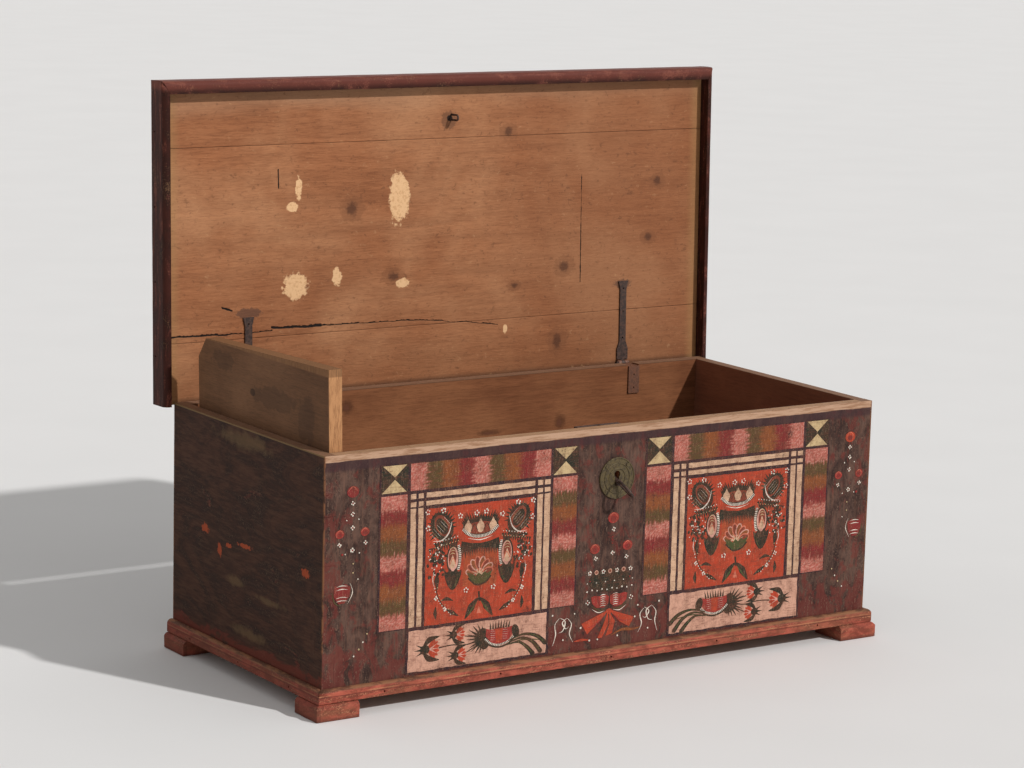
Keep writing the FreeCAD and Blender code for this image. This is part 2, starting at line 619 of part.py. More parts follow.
def make_key():
    """Makes the key about its own axis, then turns it and lets it hang."""
    start = "-(board / 2 + shank_out)"
    bit_start = "(board - lock_sheet)"
    bit_end = f"({bit_start} + bit_long)"
    shank = rod("key_shank", "shank_radius", (start, f"{bit_end} + shank_radius"), (0, 0), "y")
    bit = box("key_bit", ("-bit_thick / 2", "bit_thick / 2"), (bit_start, bit_end), ("-bit_reach", 0))
    ward = box(
        "key_ward",
        ("-bit_thick", "bit_thick"),
        (f"{bit_start} + bit_long * 5 / 12", f"{bit_start} + bit_long * 7 / 12"),
        ("-bit_reach * 2", "-bit_reach * 2 / 3"),
    )
    rings = []
    for name, inset in (("outer", "0"), ("inner", "bow_bar")):
        oval = doc.addObject("Part::Ellipse", f"bow_{name}_oval")
        bind(oval, MajorRadius=f"bow_long / 2 - {inset}", MinorRadius=f"bow_wide / 2 - {inset}")
        solid = doc.addObject("Part::Extrusion", f"bow_{name}")
        solid.Base = oval
        solid.DirMode = "Normal"
        solid.Solid = True
        solid.Symmetric = True
        bind(solid, LengthFwd="bow_bar" if name == "outer" else "bow_bar * 3")
        rings.append(solid)
    ring = cut("bow_ring", rings[0], [rings[1]])
    doc.recompute()
    bow_round = number("bow_bar") * ROUND_SHARE
    bow = soften("bow_rounded", ring, bow_round, lambda edge: edge.ZLength < SMALL)
    upright = doc.addObject("Part::Compound", "bow")
    upright.Links = [bow]
    upright.Placement.Rotation = FreeCAD.Rotation(FreeCAD.Vector(1, 1, 1), 120)
    place(upright, 0, f"{start} - bow_long / 2 + bow_bar / 2", 0)
    warded = cut("key_bit_warded", bit, [ward])
    blade = turn(fuse("key_blade", [shank, warded, upright]), (0, 1, 0), "key_roll")
    collars = []
    for index, place_text in enumerate((start, f"{start} + shank_radius"), 1):
        collars.append(torus(f"key_collar_{index}", "shank_radius", "bow_bar / 3", 0, place_text, 0))
    key = turn(fuse("key", [blade] + collars), (1, 0, 0), "key_droop")
    keep(place(key, "lock_aside", f"{FRONT} + board / 2", KEY_Z), "key")


def make_till_lid():
    """Makes the till's lid about its wooden pivots, then raises it."""
    front = f"({INNER_FRONT} + till_front_gap)"
    rear = f"({INNER_BACK} - till_rear_gap)"
    zs = ("-till_lid_thick / 2", "till_lid_thick / 2")
    narrow = "(till_lid_wide - till_taper)"
    slab = wedge("till_lid_slab", (front, rear), (0, "till_lid_wide"), (0, narrow), zs, zs)
    edge = rod("till_lid_edge", "till_lid_thick / 2", (front, rear), (0, 0), "y")
    pin_y = {
        "front": (f"{INNER_FRONT} - till_pin_in", f"{front} + overrun"),
        "rear": (f"{rear} - overrun", f"{INNER_BACK} + till_pin_in"),
    }
    pins = [rod(f"till_pin_{end}", "till_pin_radius", ys, (0, 0), "y") for end, ys in pin_y.items()]
    slope = f"(till_taper / ({rear} - {front}))"
    start = f"({rear} - till_corner_long)"
    corner = wedge(
        "till_lid_corner",
        (start, rear),
        (f"{narrow} + till_corner_long * {slope}", "till_lid_wide + overrun"),
        (f"{narrow} - till_corner_wide", "till_lid_wide + overrun"),
        ("-till_lid_thick", "till_lid_thick"),
        ("-till_lid_thick", "till_lid_thick"),
    )
    lid = cut("till_lid", fuse("till_lid_whole", [slab, edge] + pins), [corner])
    turn(lid, (0, 1, 0), "-(90 + till_lean)")
    keep(place(lid, TILL_LID_X, 0, TILL_LID_Z), "till_lid")


def ride(item, name):
    """Stands a piece of the lid, made about the hinge pins' axis, in the open lid's pose."""
    turn(item, (1, 0, 0), "-open_angle")
    return keep(place(item, 0, HINGE_Y, HINGE_Z), name)


def make_lid(strap_nails):
    """Makes the lid's boards, mouldings, nails and staple about the hinge pins' axis."""
    under = "(iron_thick + free_gap / 2)"
    top = f"({under} + lid_thick)"
    rear = "(lid_back - hinge_back)"
    front = "(-(depth + hinge_back + lid_front_gap))"
    side_x = "(width / 2 + lid_side_gap)"
    out = f"({side_x} + moulding_thick)"
    middle_z = f"({under} + lid_thick / 2)"
    ys = (f"{front} - moulding_front", front)
    zs = (f"{under} - lip_drop", top)

    nails = []
    for index in range(MOULDING_FRONT_NAILS):
        x = in_row("width", index, MOULDING_FRONT_NAILS)
        name = f"moulding_nail_front_{index + 1}"
        nails.append(nail(name, (x, ys[0], middle_z), "y", 1, MOULDING_NAIL))
    for side_name, side in SIDES:
        for index in range(MOULDING_SIDE_NAILS):
            y = f"{front} + ({index} + 1 / 2) * depth / {MOULDING_SIDE_NAILS}"
            name = f"moulding_nail_{side_name}_{index + 1}"
            nails.append(nail(name, (f"{side} * {out}", y, middle_z), "x", -side, MOULDING_NAIL))

    legs = []
    for index, sign in enumerate((-1, 1), 1):
        centre = ("lock_aside", f"{STAPLE_Y} - {HINGE_Y} + {sign} * staple_wide / 2")
        low = f"({under} - staple_drop + staple_rod + staple_wide / 2)"
        legs.append(rod(f"staple_leg_{index}", "staple_rod", (low, f"{under} + lid_thick * 3 / 4"), centre))
    ring = doc.addObject("Part::Torus", "staple_ring")
    bind(ring, Radius1="staple_wide / 2", Radius2="staple_rod")
    ring.Placement.Rotation = FreeCAD.Rotation(FreeCAD.Vector(0, 1, 0), 90)
    place(ring, "lock_aside", f"{STAPLE_Y} - {HINGE_Y}", low)
    lower = box(
        "staple_ring_half",
        about_lock("-overrun", "overrun"),
        (f"{STAPLE_Y} - {HINGE_Y} - overrun", f"{STAPLE_Y} - {HINGE_Y} + overrun"),
        (f"{low} - overrun", low),
    )
    staple = fuse("staple_whole", legs + [common("staple_bend", ring, lower)])

    # The rear board has a shallow recess over each hinge's knuckles.
    recesses = []
    half = "(3 / 2 * knuckle_wide + 3 * free_gap + head_thick)"
    for side_name, side in SIDES:
        middle = f"{side} * (width / 2 - hinge_inset_{side_name})"
        recess_y = ("-(knuckle_radius + free_gap)", f"{rear} + overrun")
        recess_z = (f"{under} - overrun", "knuckle_radius + free_gap")
        xs = (f"{middle} - {half}", f"{middle} + {half}")
        recesses.append(box(f"lid_recess_{side_name}", xs, recess_y, recess_z))

    holes = nails + strap_nails + [staple] + recesses
    seams = (front, f"{front} + lid_front_board", f"{rear} - lid_rear_board", rear)
    for index, board_name in enumerate(("front", "middle", "rear")):
        name = f"lid_board_{board_name}"
        slab = box(f"{name}_slab", (f"-{side_x}", side_x), (seams[index], seams[index + 1]), (under, top))
        ride(cut(name, slab, holes), name)

    far = (f"{zs[0]} - overrun", f"{zs[1]} + overrun")
    mitre = wedge("moulding_mitre", ys, (f"-{out}", out), (f"-{side_x}", side_x), far, far)

    def shape(name, bar, flank):
        """Rounds a moulding's lower and upper outer edges."""
        doc.recompute()
        whole = bar.Shape.BoundBox

        def lower(edge):
            """Tells whether an edge is the lower outer one."""
            return flank(edge, whole) and edge.ZMax < whole.ZMin + SMALL

        def upper(edge):
            """Tells whether an edge is the upper outer one."""
            return flank(edge, whole) and edge.ZMin > whole.ZMax - SMALL

        lower_round = soften(f"{name}_lower", bar, number("moulding_round"), lower)
        return soften(f"{name}_upper", lower_round, number("moulding_nose"), upper)

    def front_flank(edge, whole):
        """Tells whether an edge runs along the front moulding's outer side."""
        return edge.XLength > number("width") / 2 and edge.YMax < whole.YMin + SMALL

    def side_flank(edge, whole):
        """Tells whether an edge runs along a side moulding's outer side."""
        reach = max(abs(whole.XMin), abs(whole.XMax))
        return edge.YLength > number("depth") / 2 and abs(edge.Center.x) > reach - SMALL

    bar = box("lid_moulding_front_bar", (f"-{out}", out), ys, zs)
    mitred = common("lid_moulding_front_mitred", shape("lid_moulding_front", bar, front_flank), mitre)
    ride(cut("lid_moulding_front", mitred, nails), "lid_moulding_front")
    for side_name, side in SIDES:
        name = f"lid_moulding_{side_name}"
        bar = box(f"{name}_bar", both_ways(side, side_x, out), (ys[0], rear), zs)
        ride(cut(name, shape(name, bar, side_flank), [mitre] + nails), name)
    ride(group("lid_moulding_nails", nails), "lid_moulding_nails")
    ride(group("strap_nails", strap_nails), "strap_nails")
    ride(group("lid_staple", [staple]), "lid_staple")


def finish():
    """Recomputes the document, checks every object and writes each sub-part."""
    doc.recompute()
    for item in doc.Objects:
        if {"Invalid", "Error"} & set(item.State):
            raise RuntimeError(f"{item.Name} failed: {item.State}")
    os.makedirs("parts", exist_ok=True)
    for item in parts:
        if item.Shape.isNull() or not item.Shape.isValid():
            raise RuntimeError(f"{item.Label} has no sound shape")
    for item in parts:
        item.Shape.exportStep(f"parts/{item.Label}.step")
        print(item.Label, len(item.Shape.Solids), round(item.Shape.Volume), "mm3")


plinth_nails, foot_nails, bottom_nails = make_carcass_nails()
hinges = [make_hinge(side_name, side) for side_name, side in SIDES]
leaf_nails = [item for hinge in hinges for item in hinge["leaf_nails"]]
strap_nails = [item for hinge in hinges for item in hinge["strap_nails"]]
lock_nails = make_lock()
notches = [hinge["notch"] for hinge in hinges]
make_walls(notches, plinth_nails + foot_nails + bottom_nails + leaf_nails + lock_nails)
make_bottom(bottom_nails + foot_nails)
make_plinth(plinth_nails)
make_feet(foot_nails)
for (side_name, _), hinge in zip(SIDES, hinges):
    keep(hinge["leaf"], f"hinge_leaf_{side_name}")
    keep(hinge["pin"], f"hinge_pin_{side_name}")
    ride(hinge["strap"], f"hinge_strap_{side_name}")
keep(group("plinth_nails", plinth_nails), "plinth_nails")
keep(group("foot_nails", foot_nails), "foot_nails")
keep(group("bottom_nails", bottom_nails), "bottom_nails")
keep(group("leaf_nails", leaf_nails), "leaf_nails")
make_till_lid()
make_key()
make_lid(strap_nails)
finish()
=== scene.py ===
"""The painted chest, dressed: worn painted wood, folk flowers, forged iron and old brass."""

import logging
import math
import random
from dataclasses import dataclass, field
from enum import Enum
from typing import Any, Iterable, Mapping, Sequence

import bmesh
import bpy
from mathutils import Matrix, Vector, noise
from mathutils.geometry import delaunay_2d_cdt


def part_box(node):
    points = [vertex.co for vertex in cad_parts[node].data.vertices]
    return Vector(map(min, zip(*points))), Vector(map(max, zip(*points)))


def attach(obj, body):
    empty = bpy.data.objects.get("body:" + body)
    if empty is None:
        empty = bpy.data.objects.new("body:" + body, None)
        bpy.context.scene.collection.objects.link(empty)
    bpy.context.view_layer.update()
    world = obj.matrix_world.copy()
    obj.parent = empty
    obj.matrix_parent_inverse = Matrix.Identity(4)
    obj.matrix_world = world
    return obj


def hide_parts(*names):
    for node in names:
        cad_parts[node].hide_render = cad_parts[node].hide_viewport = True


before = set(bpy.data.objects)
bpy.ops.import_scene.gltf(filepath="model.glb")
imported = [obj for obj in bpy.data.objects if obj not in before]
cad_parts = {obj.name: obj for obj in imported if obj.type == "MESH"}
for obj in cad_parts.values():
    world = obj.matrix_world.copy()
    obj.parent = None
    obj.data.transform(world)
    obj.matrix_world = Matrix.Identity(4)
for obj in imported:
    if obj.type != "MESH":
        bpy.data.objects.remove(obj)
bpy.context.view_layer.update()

MM = 0.001
WELD = 1e-6
log = logging.getLogger("chest")

Point = tuple[float, float]
Colour = tuple[float, float, float, float]


def tint(red: float, green: float, blue: float) -> Colour:
    """Turns a colour as seen on a screen, 0 to 255, into the renderer's own.

    Args:
        red: The red part.
        green: The green part.
        blue: The blue part.

    Returns:
        The colour as linear light, opaque.
    """

    def linear(part: float) -> float:
        """Returns one part as linear light."""
        part /= 255
        return part / 12.92 if part <= 0.04045 else ((part + 0.055) / 1.055) ** 2.4

    return (linear(red), linear(green), linear(blue), 1.0)


def between(share: float, first: Colour, second: Colour) -> Colour:
    """Mixes two colours.

    Args:
        share: How much of the second colour there is, 0 to 1.
        first: The colour at 0.
        second: The colour at 1.

    Returns:
        The mixed colour.
    """
    return tuple(a + (b - a) * share for a, b in zip(first, second))


# Shader maths ------------------------------------------------------------------------------


@dataclass(frozen=True)
class Value:
    """A number that changes over a surface, with Python's own arithmetic."""

    graph: "Nodes"
    socket: bpy.types.NodeSocket

    def maths(self, operation: str, *others: Any) -> "Value":
        """Adds one Math node.

        Args:
            operation: The node's operation.
            *others: The other numbers or values, in the node's order.

        Returns:
            The node's result.
        """
        inputs = dict(enumerate((self, *others)))
        made = self.graph.node("ShaderNodeMath", {"operation": operation}, inputs)
        return Value(self.graph, made.outputs[0])

    def __add__(self, other: Any) -> "Value":
        """Returns the sum."""
        return self.maths("ADD", other)

    __radd__ = __add__

    def __sub__(self, other: Any) -> "Value":
        """Returns the difference."""
        return self.maths("SUBTRACT", other)

    def __rsub__(self, other: float) -> "Value":
        """Returns the difference from a plain number."""
        made = self.graph.node("ShaderNodeMath", {"operation": "SUBTRACT"}, {0: other, 1: self})
        return Value(self.graph, made.outputs[0])

    def __mul__(self, other: Any) -> "Value":
        """Returns the product."""
        return self.maths("MULTIPLY", other)

    __rmul__ = __mul__

    def __truediv__(self, other: Any) -> "Value":
        """Returns the quotient."""
        return self.maths("DIVIDE", other)

    def __neg__(self) -> "Value":
        """Returns the value with its sign turned."""
        return self.maths("MULTIPLY", -1.0)

    def __abs__(self) -> "Value":
        """Returns the value without its sign."""
        return self.maths("ABSOLUTE")

    def least(self, other: Any) -> "Value":
        """Returns the smaller of two values."""
        return self.maths("MINIMUM", other)

    def most(self, other: Any) -> "Value":
        """Returns the larger of two values."""
        return self.maths("MAXIMUM", other)

    def over(self, edge: float, soft: float) -> "Value":
        """Returns 0 below an edge and 1 above it, with a smooth step between.

        Args:
            edge: The middle of the step.
            soft: Half the step's width.

        Returns:
            A mask.
        """
        inputs = {0: self, 1: edge - soft, 2: edge + soft}
        made = self.graph.node("ShaderNodeMapRange", {"interpolation_type": "SMOOTHSTEP"}, inputs)
        return Value(self.graph, made.outputs[0])


Plane = tuple[Value, Value]


@dataclass(frozen=True)
class Stain:
    """Ragged patches of one tone.

    A place is a centre and two radii, in millimetres. The patches' edges wander by a share of
    their radii, in a pattern that has a size of its own in millimetres, and they are soft over
    a share of their radii.
    """

    tone: Colour
    places: Sequence[Sequence[float]]
    strength: float = 1.0
    ragged: float = 0.9
    size: float = 12.0
    soft: float = 0.12


class Nodes:
    """A node tree that is built in code: a material's, the sky's or a shape's."""

    def __init__(self, tree: bpy.types.NodeTree) -> None:
        """Empties the tree.

        Args:
            tree: The tree.
        """
        self.tree = tree
        self.tree.nodes.clear()

    def node(
        self,
        kind: str,
        settings: Mapping[str, Any] = {},
        inputs: Mapping[Any, Any] = {},
    ) -> bpy.types.Node:
        """Adds one node.

        Args:
            kind: The node's type.
            settings: Its own settings, which are set first.
            inputs: The values or links of its sockets, by name or number.

        Returns:
            The node.
        """
        made = self.tree.nodes.new(kind)
        for name, setting in settings.items():
            setattr(made, name, setting)
        for name, value in inputs.items():
            value = value.socket if isinstance(value, Value) else value
            if isinstance(value, bpy.types.NodeSocket):
                self.tree.links.new(value, made.inputs[name])
            else:
                made.inputs[name].default_value = value
        return made


class Graph(Nodes):
    """The nodes of one material, which read the place on the object."""

    def __init__(self, name: str) -> None:
        """Starts an empty material.

        Args:
            name: The material's name.
        """
        self.material = bpy.data.materials.new(name)
        self.material.use_nodes = True
        super().__init__(self.material.node_tree)
        self.place = self.node("ShaderNodeTexCoord").outputs["Object"]
        split = self.node("ShaderNodeSeparateXYZ", {}, {0: self.place})
        self.x, self.y, self.z = (Value(self, socket) for socket in split.outputs)

    def blend(self, share: Any, first: Any, second: Any) -> Any:
        """Mixes two colours.

        Args:
            share: How much of the second there is: a number or a value.
            first: The colour at 0.
            second: The colour at 1.

        Returns:
            The mixed colour's socket.
        """
        inputs = {0: share, 6: first, 7: second}
        return self.node("ShaderNodeMix", {"data_type": "RGBA"}, inputs).outputs[2]

    def coats(self, colour: Any, *coats: tuple[Any, Any]) -> Any:
        """Lays coats of paint, dirt or wear over a colour, one after another.

        Args:
            colour: The colour under them.
            *coats: How much of each coat there is, and its colour.

        Returns:
            The new colour.
        """
        for share, tone in coats:
            colour = self.blend(share, colour, tone)
        return colour

    def noise(
        self,
        size: float,
        stretch: Sequence[float] = (1, 1, 1),
        detail: float = 3.0,
        rough: float = 0.55,
        warp: float = 0.0,
        shift: float = 0.0,
    ) -> Value:
        """Makes a soft random pattern.

        Args:
            size: The pattern's own size, in millimetres.
            stretch: How many times longer it is along each axis.
            detail: How many finer patterns lie in it.
            rough: How strong the finer ones are.
            warp: How far it is twisted.
            shift: Where in the pattern the object lies.

        Returns:
            A value about 0.5.
        """
        scale = tuple(1 / (size * MM * share) for share in stretch)
        inputs = {"Vector": self.place, "Scale": scale, "Location": (shift, shift, shift)}
        place = self.node("ShaderNodeMapping", {}, inputs).outputs[0]
        inputs = {"Vector": place, "Scale": 1.0, "Detail": detail, "Roughness": rough}
        made = self.node("ShaderNodeTexNoise", {}, {**inputs, "Distortion": warp})
        return Value(self, made.outputs[0])

    def spot(self, plane: Plane, centre: Point, radii: Point) -> Value:
        """Returns the distance from a centre, as a share of the radii.

        Args:
            plane: The place along two directions, in metres.
            centre: The centre, in millimetres.
            radii: The radii, in millimetres.

        Returns:
            0 at the centre and 1 at the oval's edge.
        """
        first, second = (
            (place - middle * MM) / (radius * MM)
            for place, middle, radius in zip(plane, centre, radii)
        )
        return (first * first + second * second).maths("SQRT")

    def run(self, plane: Plane, start: Point, end: Point) -> Value:
        """Returns the distance from a straight run between two points.

        Args:
            plane: The place along two directions, in metres.
            start: The run's start, in millimetres.
            end: The run's end, in millimetres.

        Returns:
            The distance, in millimetres.
        """
        du, dv = end[0] - start[0], end[1] - start[1]
        square = du * du + dv * dv
        u, v = (place / MM - first for place, first in zip(plane, start))
        share = ((u * du + v * dv) / square).least(1.0).most(0.0)
        first, second = u - share * du, v - share * dv
        return (first * first + second * second).maths("SQRT")

    def stained(self, plane: Plane, stain: Stain) -> Value:
        """Returns how much of a stain there is at each place.

        Args:
            plane: The place along two directions, in metres.
            stain: The stain.

        Returns:
            A mask.
        """
        wander = self.noise(stain.size, detail=5, rough=0.65, warp=0.3, shift=21.0) - 0.5
        nearest = None
        for u, v, wide, high in stain.places:
            reach = self.spot(plane, (u, v), (wide, high))
            nearest = reach if nearest is None else nearest.least(reach)
        away = (nearest + wander * (2 * stain.ragged)).over(1.0, stain.soft)
        return (1 - away) * stain.strength

    def stain(self, colour: Any, plane: Plane, *stains: Stain) -> Any:
        """Lays stains over a colour, one after another.

        Args:
            colour: The colour under them.
            plane: The place along two directions, in metres.
            *stains: The stains.

        Returns:
            The new colour.
        """
        return self.coats(colour, *((self.stained(plane, stain), stain.tone) for stain in stains))

    def finish(
        self,
        colour: Any,
        roughness: Any,
        height: Value | None = None,
        depth: float = 0.4,
        metallic: Any = 0.0,
        specular: float = 0.3,
    ) -> bpy.types.Material:
        """Adds the surface shader.

        Args:
            colour: The base colour.
            roughness: The roughness.
            height: The relief, 0 to 1.
            depth: The relief's depth, in millimetres.
            metallic: How metallic the surface is.
            specular: The strength of its gloss.

        Returns:
            The material.
        """
        inputs = {"Base Color": colour, "Roughness": roughness, "Metallic": metallic}
        inputs["Specular IOR Level"] = specular
        if height is not None:
            relief = {"Height": height, "Strength": 1.0, "Distance": depth * MM}
            inputs["Normal"] = self.node("ShaderNodeBump", {}, relief).outputs[0]
        shader = self.node("ShaderNodeBsdfPrincipled", {}, inputs)
        self.node("ShaderNodeOutputMaterial", {}, {"Surface": shader.outputs[0]})
        return self.material


# The chest's sizes that its finishes keep to, in metres ---------------------------------------

HALF_LENGTH = 0.6
HALF_DEPTH = 0.275
WALL = 0.024
RIM = 0.46
LID_FOOT = 0.45715
LID_OUTSIDE = 0.3214
LID_FRONT_EDGE = 1.032
TILL_LID_END = -0.2475
TILL_LID_TOP = 0.5895
# The heights of the plinth's painted shade line and painted highlight, in metres.
PLINTH_SHADE_LINE = 0.0412
PLINTH_ARRIS = 0.0442
PLINTH_TOP = 0.0495
PLINTH_LEFT = 0.6105


# Woods, knots, stains and cracks --------------------------------------------------------------


class Axis(Enum):
    """The way that a board's grain runs: how much longer its figure is along each axis."""

    X = (14, 1, 1)
    Y = (1, 14, 1)


@dataclass(frozen=True)
class Wood:
    """Bare wood: its colours and its grain."""

    body: Colour
    dark: Colour
    pale: Colour
    grain: Axis
    shift: float = 0.0

    def paint(self, graph: Graph) -> tuple[Any, Value]:
        """Adds the wood's figure to a material.

        Args:
            graph: The material.

        Returns:
            The colour and the relief.
        """
        grain, shift = self.grain.value, self.shift
        figure = graph.noise(30, grain, detail=4, rough=0.6, warp=1.4, shift=shift)
        lines = graph.noise(3.6, grain, detail=4, rough=0.7, warp=0.5, shift=shift + 7)
        fibre = graph.noise(1.1, grain, rough=0.6, shift=shift)
        cloud = graph.noise(190, (1.5, 1.5, 1.5), rough=0.6, warp=0.3, shift=shift + 3)
        colour = graph.coats(
            self.body,
            (figure.over(0.52, 0.2) * 0.4, self.dark),
            (lines.over(0.55, 0.12) * 0.45, self.dark),
            (cloud.over(0.52, 0.16) * 0.55, self.pale),
            (fibre.over(0.58, 0.14) * 0.4, self.dark),
        )
        return colour, fibre * 0.6 + lines * 0.4


BACK_WOOD = Wood(tint(134, 84, 55), tint(86, 50, 31), tint(164, 110, 74), Axis.X)
RIGHT_WOOD = Wood(tint(132, 84, 62), tint(98, 60, 46), tint(148, 98, 72), Axis.Y, 5.0)
LID_WOOD = Wood(tint(162, 104, 68), tint(106, 60, 35), tint(194, 142, 102), Axis.X, 9.0)
TILL_WOOD = Wood(tint(108, 74, 51), tint(68, 47, 32), tint(136, 98, 70), Axis.Y, 13.0)
HIDDEN_WOOD = Wood(tint(140, 100, 74), tint(112, 76, 54), tint(154, 116, 90), Axis.X, 17.0)

GROUND = tint(80, 61, 55)
GROUND_DEEP = tint(50, 35, 35)
GROUND_WORN = tint(122, 96, 80)
RIM_WORN = tint(168, 132, 102)
RIM_BROWN = tint(138, 98, 70)

BACK_KNOTS = [(-246, 427, 13, 13), (244, 357, 12, 14), (78, 350, 26, 5)]
BACK_HEARTS = [(u - 2, v - 1, a * 0.45, b * 0.45) for u, v, a, b in BACK_KNOTS]
BACK_STAINS = (
    Stain(tint(66, 38, 26), BACK_KNOTS, strength=0.6, ragged=0.6, size=7.0, soft=0.5),
    Stain(tint(104, 64, 48), BACK_HEARTS, strength=0.6, ragged=0.5, size=5.0, soft=0.4),
)

LEFT_OLIVE = [(-10, 437, 74, 13), (-35, 176, 26, 7), (18, 90, 58, 8), (88, 165, 40, 5)]
LEFT_ORANGE = [(-150, 250, 13, 8), (0, 247, 22, 4), (-95, 222, 7, 12), (215, 244, 14, 7),
               (-62, 236, 10, 4)]
LEFT_STAINS = (
    Stain(tint(116, 92, 64), LEFT_OLIVE, strength=0.42, ragged=1.5, size=22.0, soft=0.6),
    Stain(tint(170, 76, 44), LEFT_ORANGE, strength=0.75, ragged=1.3, size=8.0),
)

TILL_DIRT = [(-60, 520, 70, 20), (130, 560, 40, 16), (-170, 500, 30, 40)]
TILL_STAINS = (
    Stain(tint(66, 48, 36), TILL_DIRT, strength=0.4, ragged=1.0, size=24.0),
    Stain(tint(48, 36, 28), [(20, 520, 9, 7)], strength=0.7, ragged=0.5, size=5.0),
)

LID_KNOTS = [(276, 203, 10, 10), (261, 55, 9, 14), (-213, 340, 11, 12), (-120, 206, 11, 8),
             (140, 475, 8, 8), (480, 252, 8, 7), (158, 172, 7, 5), (500, 365, 8, 8)]
LID_RINGS = [(u, v, 2.6 * a, 2.1 * b) for u, v, a, b in LID_KNOTS]
LID_KNOT_STAINS = (
    Stain(tint(118, 74, 48), LID_RINGS, strength=0.4, ragged=0.7, size=9.0),
    Stain(tint(70, 42, 30), LID_KNOTS, strength=0.7, size=6.0, soft=0.5),
)
LID_PATCHES = Stain(
    tint(226, 182, 136),
    [(-108, 356, 22, 48), (-328, 384, 7, 20), (-342, 350, 12, 9), (-335, 200, 26, 25),
     (-245, 212, 10, 17), (-100, 192, 14, 9), (137, 88, 5, 8)],
    ragged=0.75,
    size=9.0,
)
LID_IRON_STAINS = (
    Stain(tint(98, 66, 48), [(2, 502, 18, 18)], strength=0.6, size=10.0),
    Stain(tint(24, 16, 14), [(4, 505, 6, 6)], strength=0.95, ragged=0.4, size=4.0),
    Stain(tint(74, 56, 50), [(-436, 156, 26, 9), (419, 160, 20, 9)], strength=0.6, size=7.0),
)
LID_CRACKS = [((-385, 126), (-340, 124), 2.6), ((-340, 124), (-280, 122), 2.4),
              ((-280, 122), (-160, 121), 1.1), ((-160, 121), (-60, 117), 0.7),
              ((-60, 117), (40, 108), 0.6), ((40, 108), (120, 97), 0.5),
              ((-600, 120), (-480, 118), 1.5), ((-480, 118), (-385, 120), 1.0),
              ((315, 170), (315, 385), 0.8), ((-490, 168), (-470, 161), 1.4),
              ((-372, 420), (-371, 385), 1.0)]


# The finishes ---------------------------------------------------------------------------------


@dataclass(frozen=True)
class FrontGround:
    """The front's mottled dark ground, with bare wood along its top."""

    light: Colour = tint(96, 72, 62)
    dark: Colour = tint(52, 36, 32)
    streaked: Colour = tint(46, 34, 32)
    thin: Colour = tint(122, 86, 68)
    reddish: Colour = tint(106, 46, 40)
    high: Colour = tint(62, 42, 44)
    bare: Colour = tint(182, 146, 120)

    def paint(self, graph: Graph, fine: Value) -> tuple[Any, Value]:
        """Adds the ground to a material.

        Args:
            graph: The material.
            fine: Its finest pattern.

        Returns:
            The colour and the relief.
        """
        mottle = graph.noise(30, (1, 1, 1.8), detail=6, rough=0.72, warp=0.5, shift=2.0)
        streak = graph.noise(4, (1, 1, 9), detail=5, rough=0.7, shift=7.0)
        red = graph.noise(24, (1, 1, 1.6), detail=5, rough=0.7, warp=0.6, shift=11.0)
        low = 1 - graph.z.over(0.115, 0.04)
        ends = abs(graph.x).over(HALF_LENGTH - 0.045, 0.03)
        wave = graph.noise(26, (3, 3, 1), detail=4, rough=0.65) * 0.006
        lines = graph.noise(4, (12, 12, 1), detail=4, rough=0.7).over(0.54, 0.08)
        bare = graph.blend(lines * 0.7, self.bare, RIM_BROWN)
        colour = graph.coats(
            self.light,
            (mottle.over(0.5, 0.15), self.dark),
            (streak.over(0.55, 0.07) * 0.55, self.streaked),
            ((1 - streak).over(0.57, 0.06) * 0.25, self.thin),
            ((red + low * 0.12 + ends * 0.03).over(0.57, 0.06) * 0.6, self.reddish),
            ((streak * fine + ends * 0.02).over(0.345, 0.04) * 0.6, GROUND_WORN),
            (graph.z.over(RIM - 0.028, 0.004) * 0.7, self.high),
            ((graph.z + wave).over(RIM - 0.0092, 0.0009), bare),
        )
        return colour, mottle * 0.5 + streak * 0.5


@dataclass(frozen=True)
class SideGround:
    """The sides' nearly black paint, with its bare patches and orange spots."""

    light: Colour = tint(70, 45, 34)
    dark: Colour = tint(40, 26, 22)
    thin: Colour = tint(92, 66, 50)
    streaked: Colour = tint(30, 21, 18)
    scuffed: Colour = tint(104, 84, 66)
    reddish: Colour = tint(112, 50, 38)
    bare: Colour = tint(128, 102, 70)

    def paint(self, graph: Graph, fine: Value) -> tuple[Any, Value]:
        """Adds the paint to a material.

        Args:
            graph: The material.
            fine: Its finest pattern.

        Returns:
            The colour and the relief.
        """
        broad = graph.noise(60, (1, 2.4, 1), detail=6, rough=0.7, warp=1.2, shift=2.0)
        brushed = graph.noise(3.2, (1, 12, 1.4), detail=5, rough=0.7, warp=0.4, shift=7.0)
        low = 1 - graph.z.over(0.075, 0.016)
        colour = graph.coats(
            self.light,
            (broad.over(0.5, 0.14), self.dark),
            (brushed.over(0.56, 0.08) * 0.28, self.thin),
            ((1 - brushed).over(0.56, 0.08) * 0.3, self.streaked),
            ((broad * fine).over(0.345, 0.04) * 0.5, self.scuffed),
        )
        colour = graph.coats(
            graph.stain(colour, (-graph.y, graph.z), *LEFT_STAINS),
            ((broad + low * 0.2).over(0.66, 0.06) * 0.6, self.reddish),
            (graph.z.over(RIM - 0.0027, 0.0008) * 0.8, self.bare),
        )
        return colour, brushed


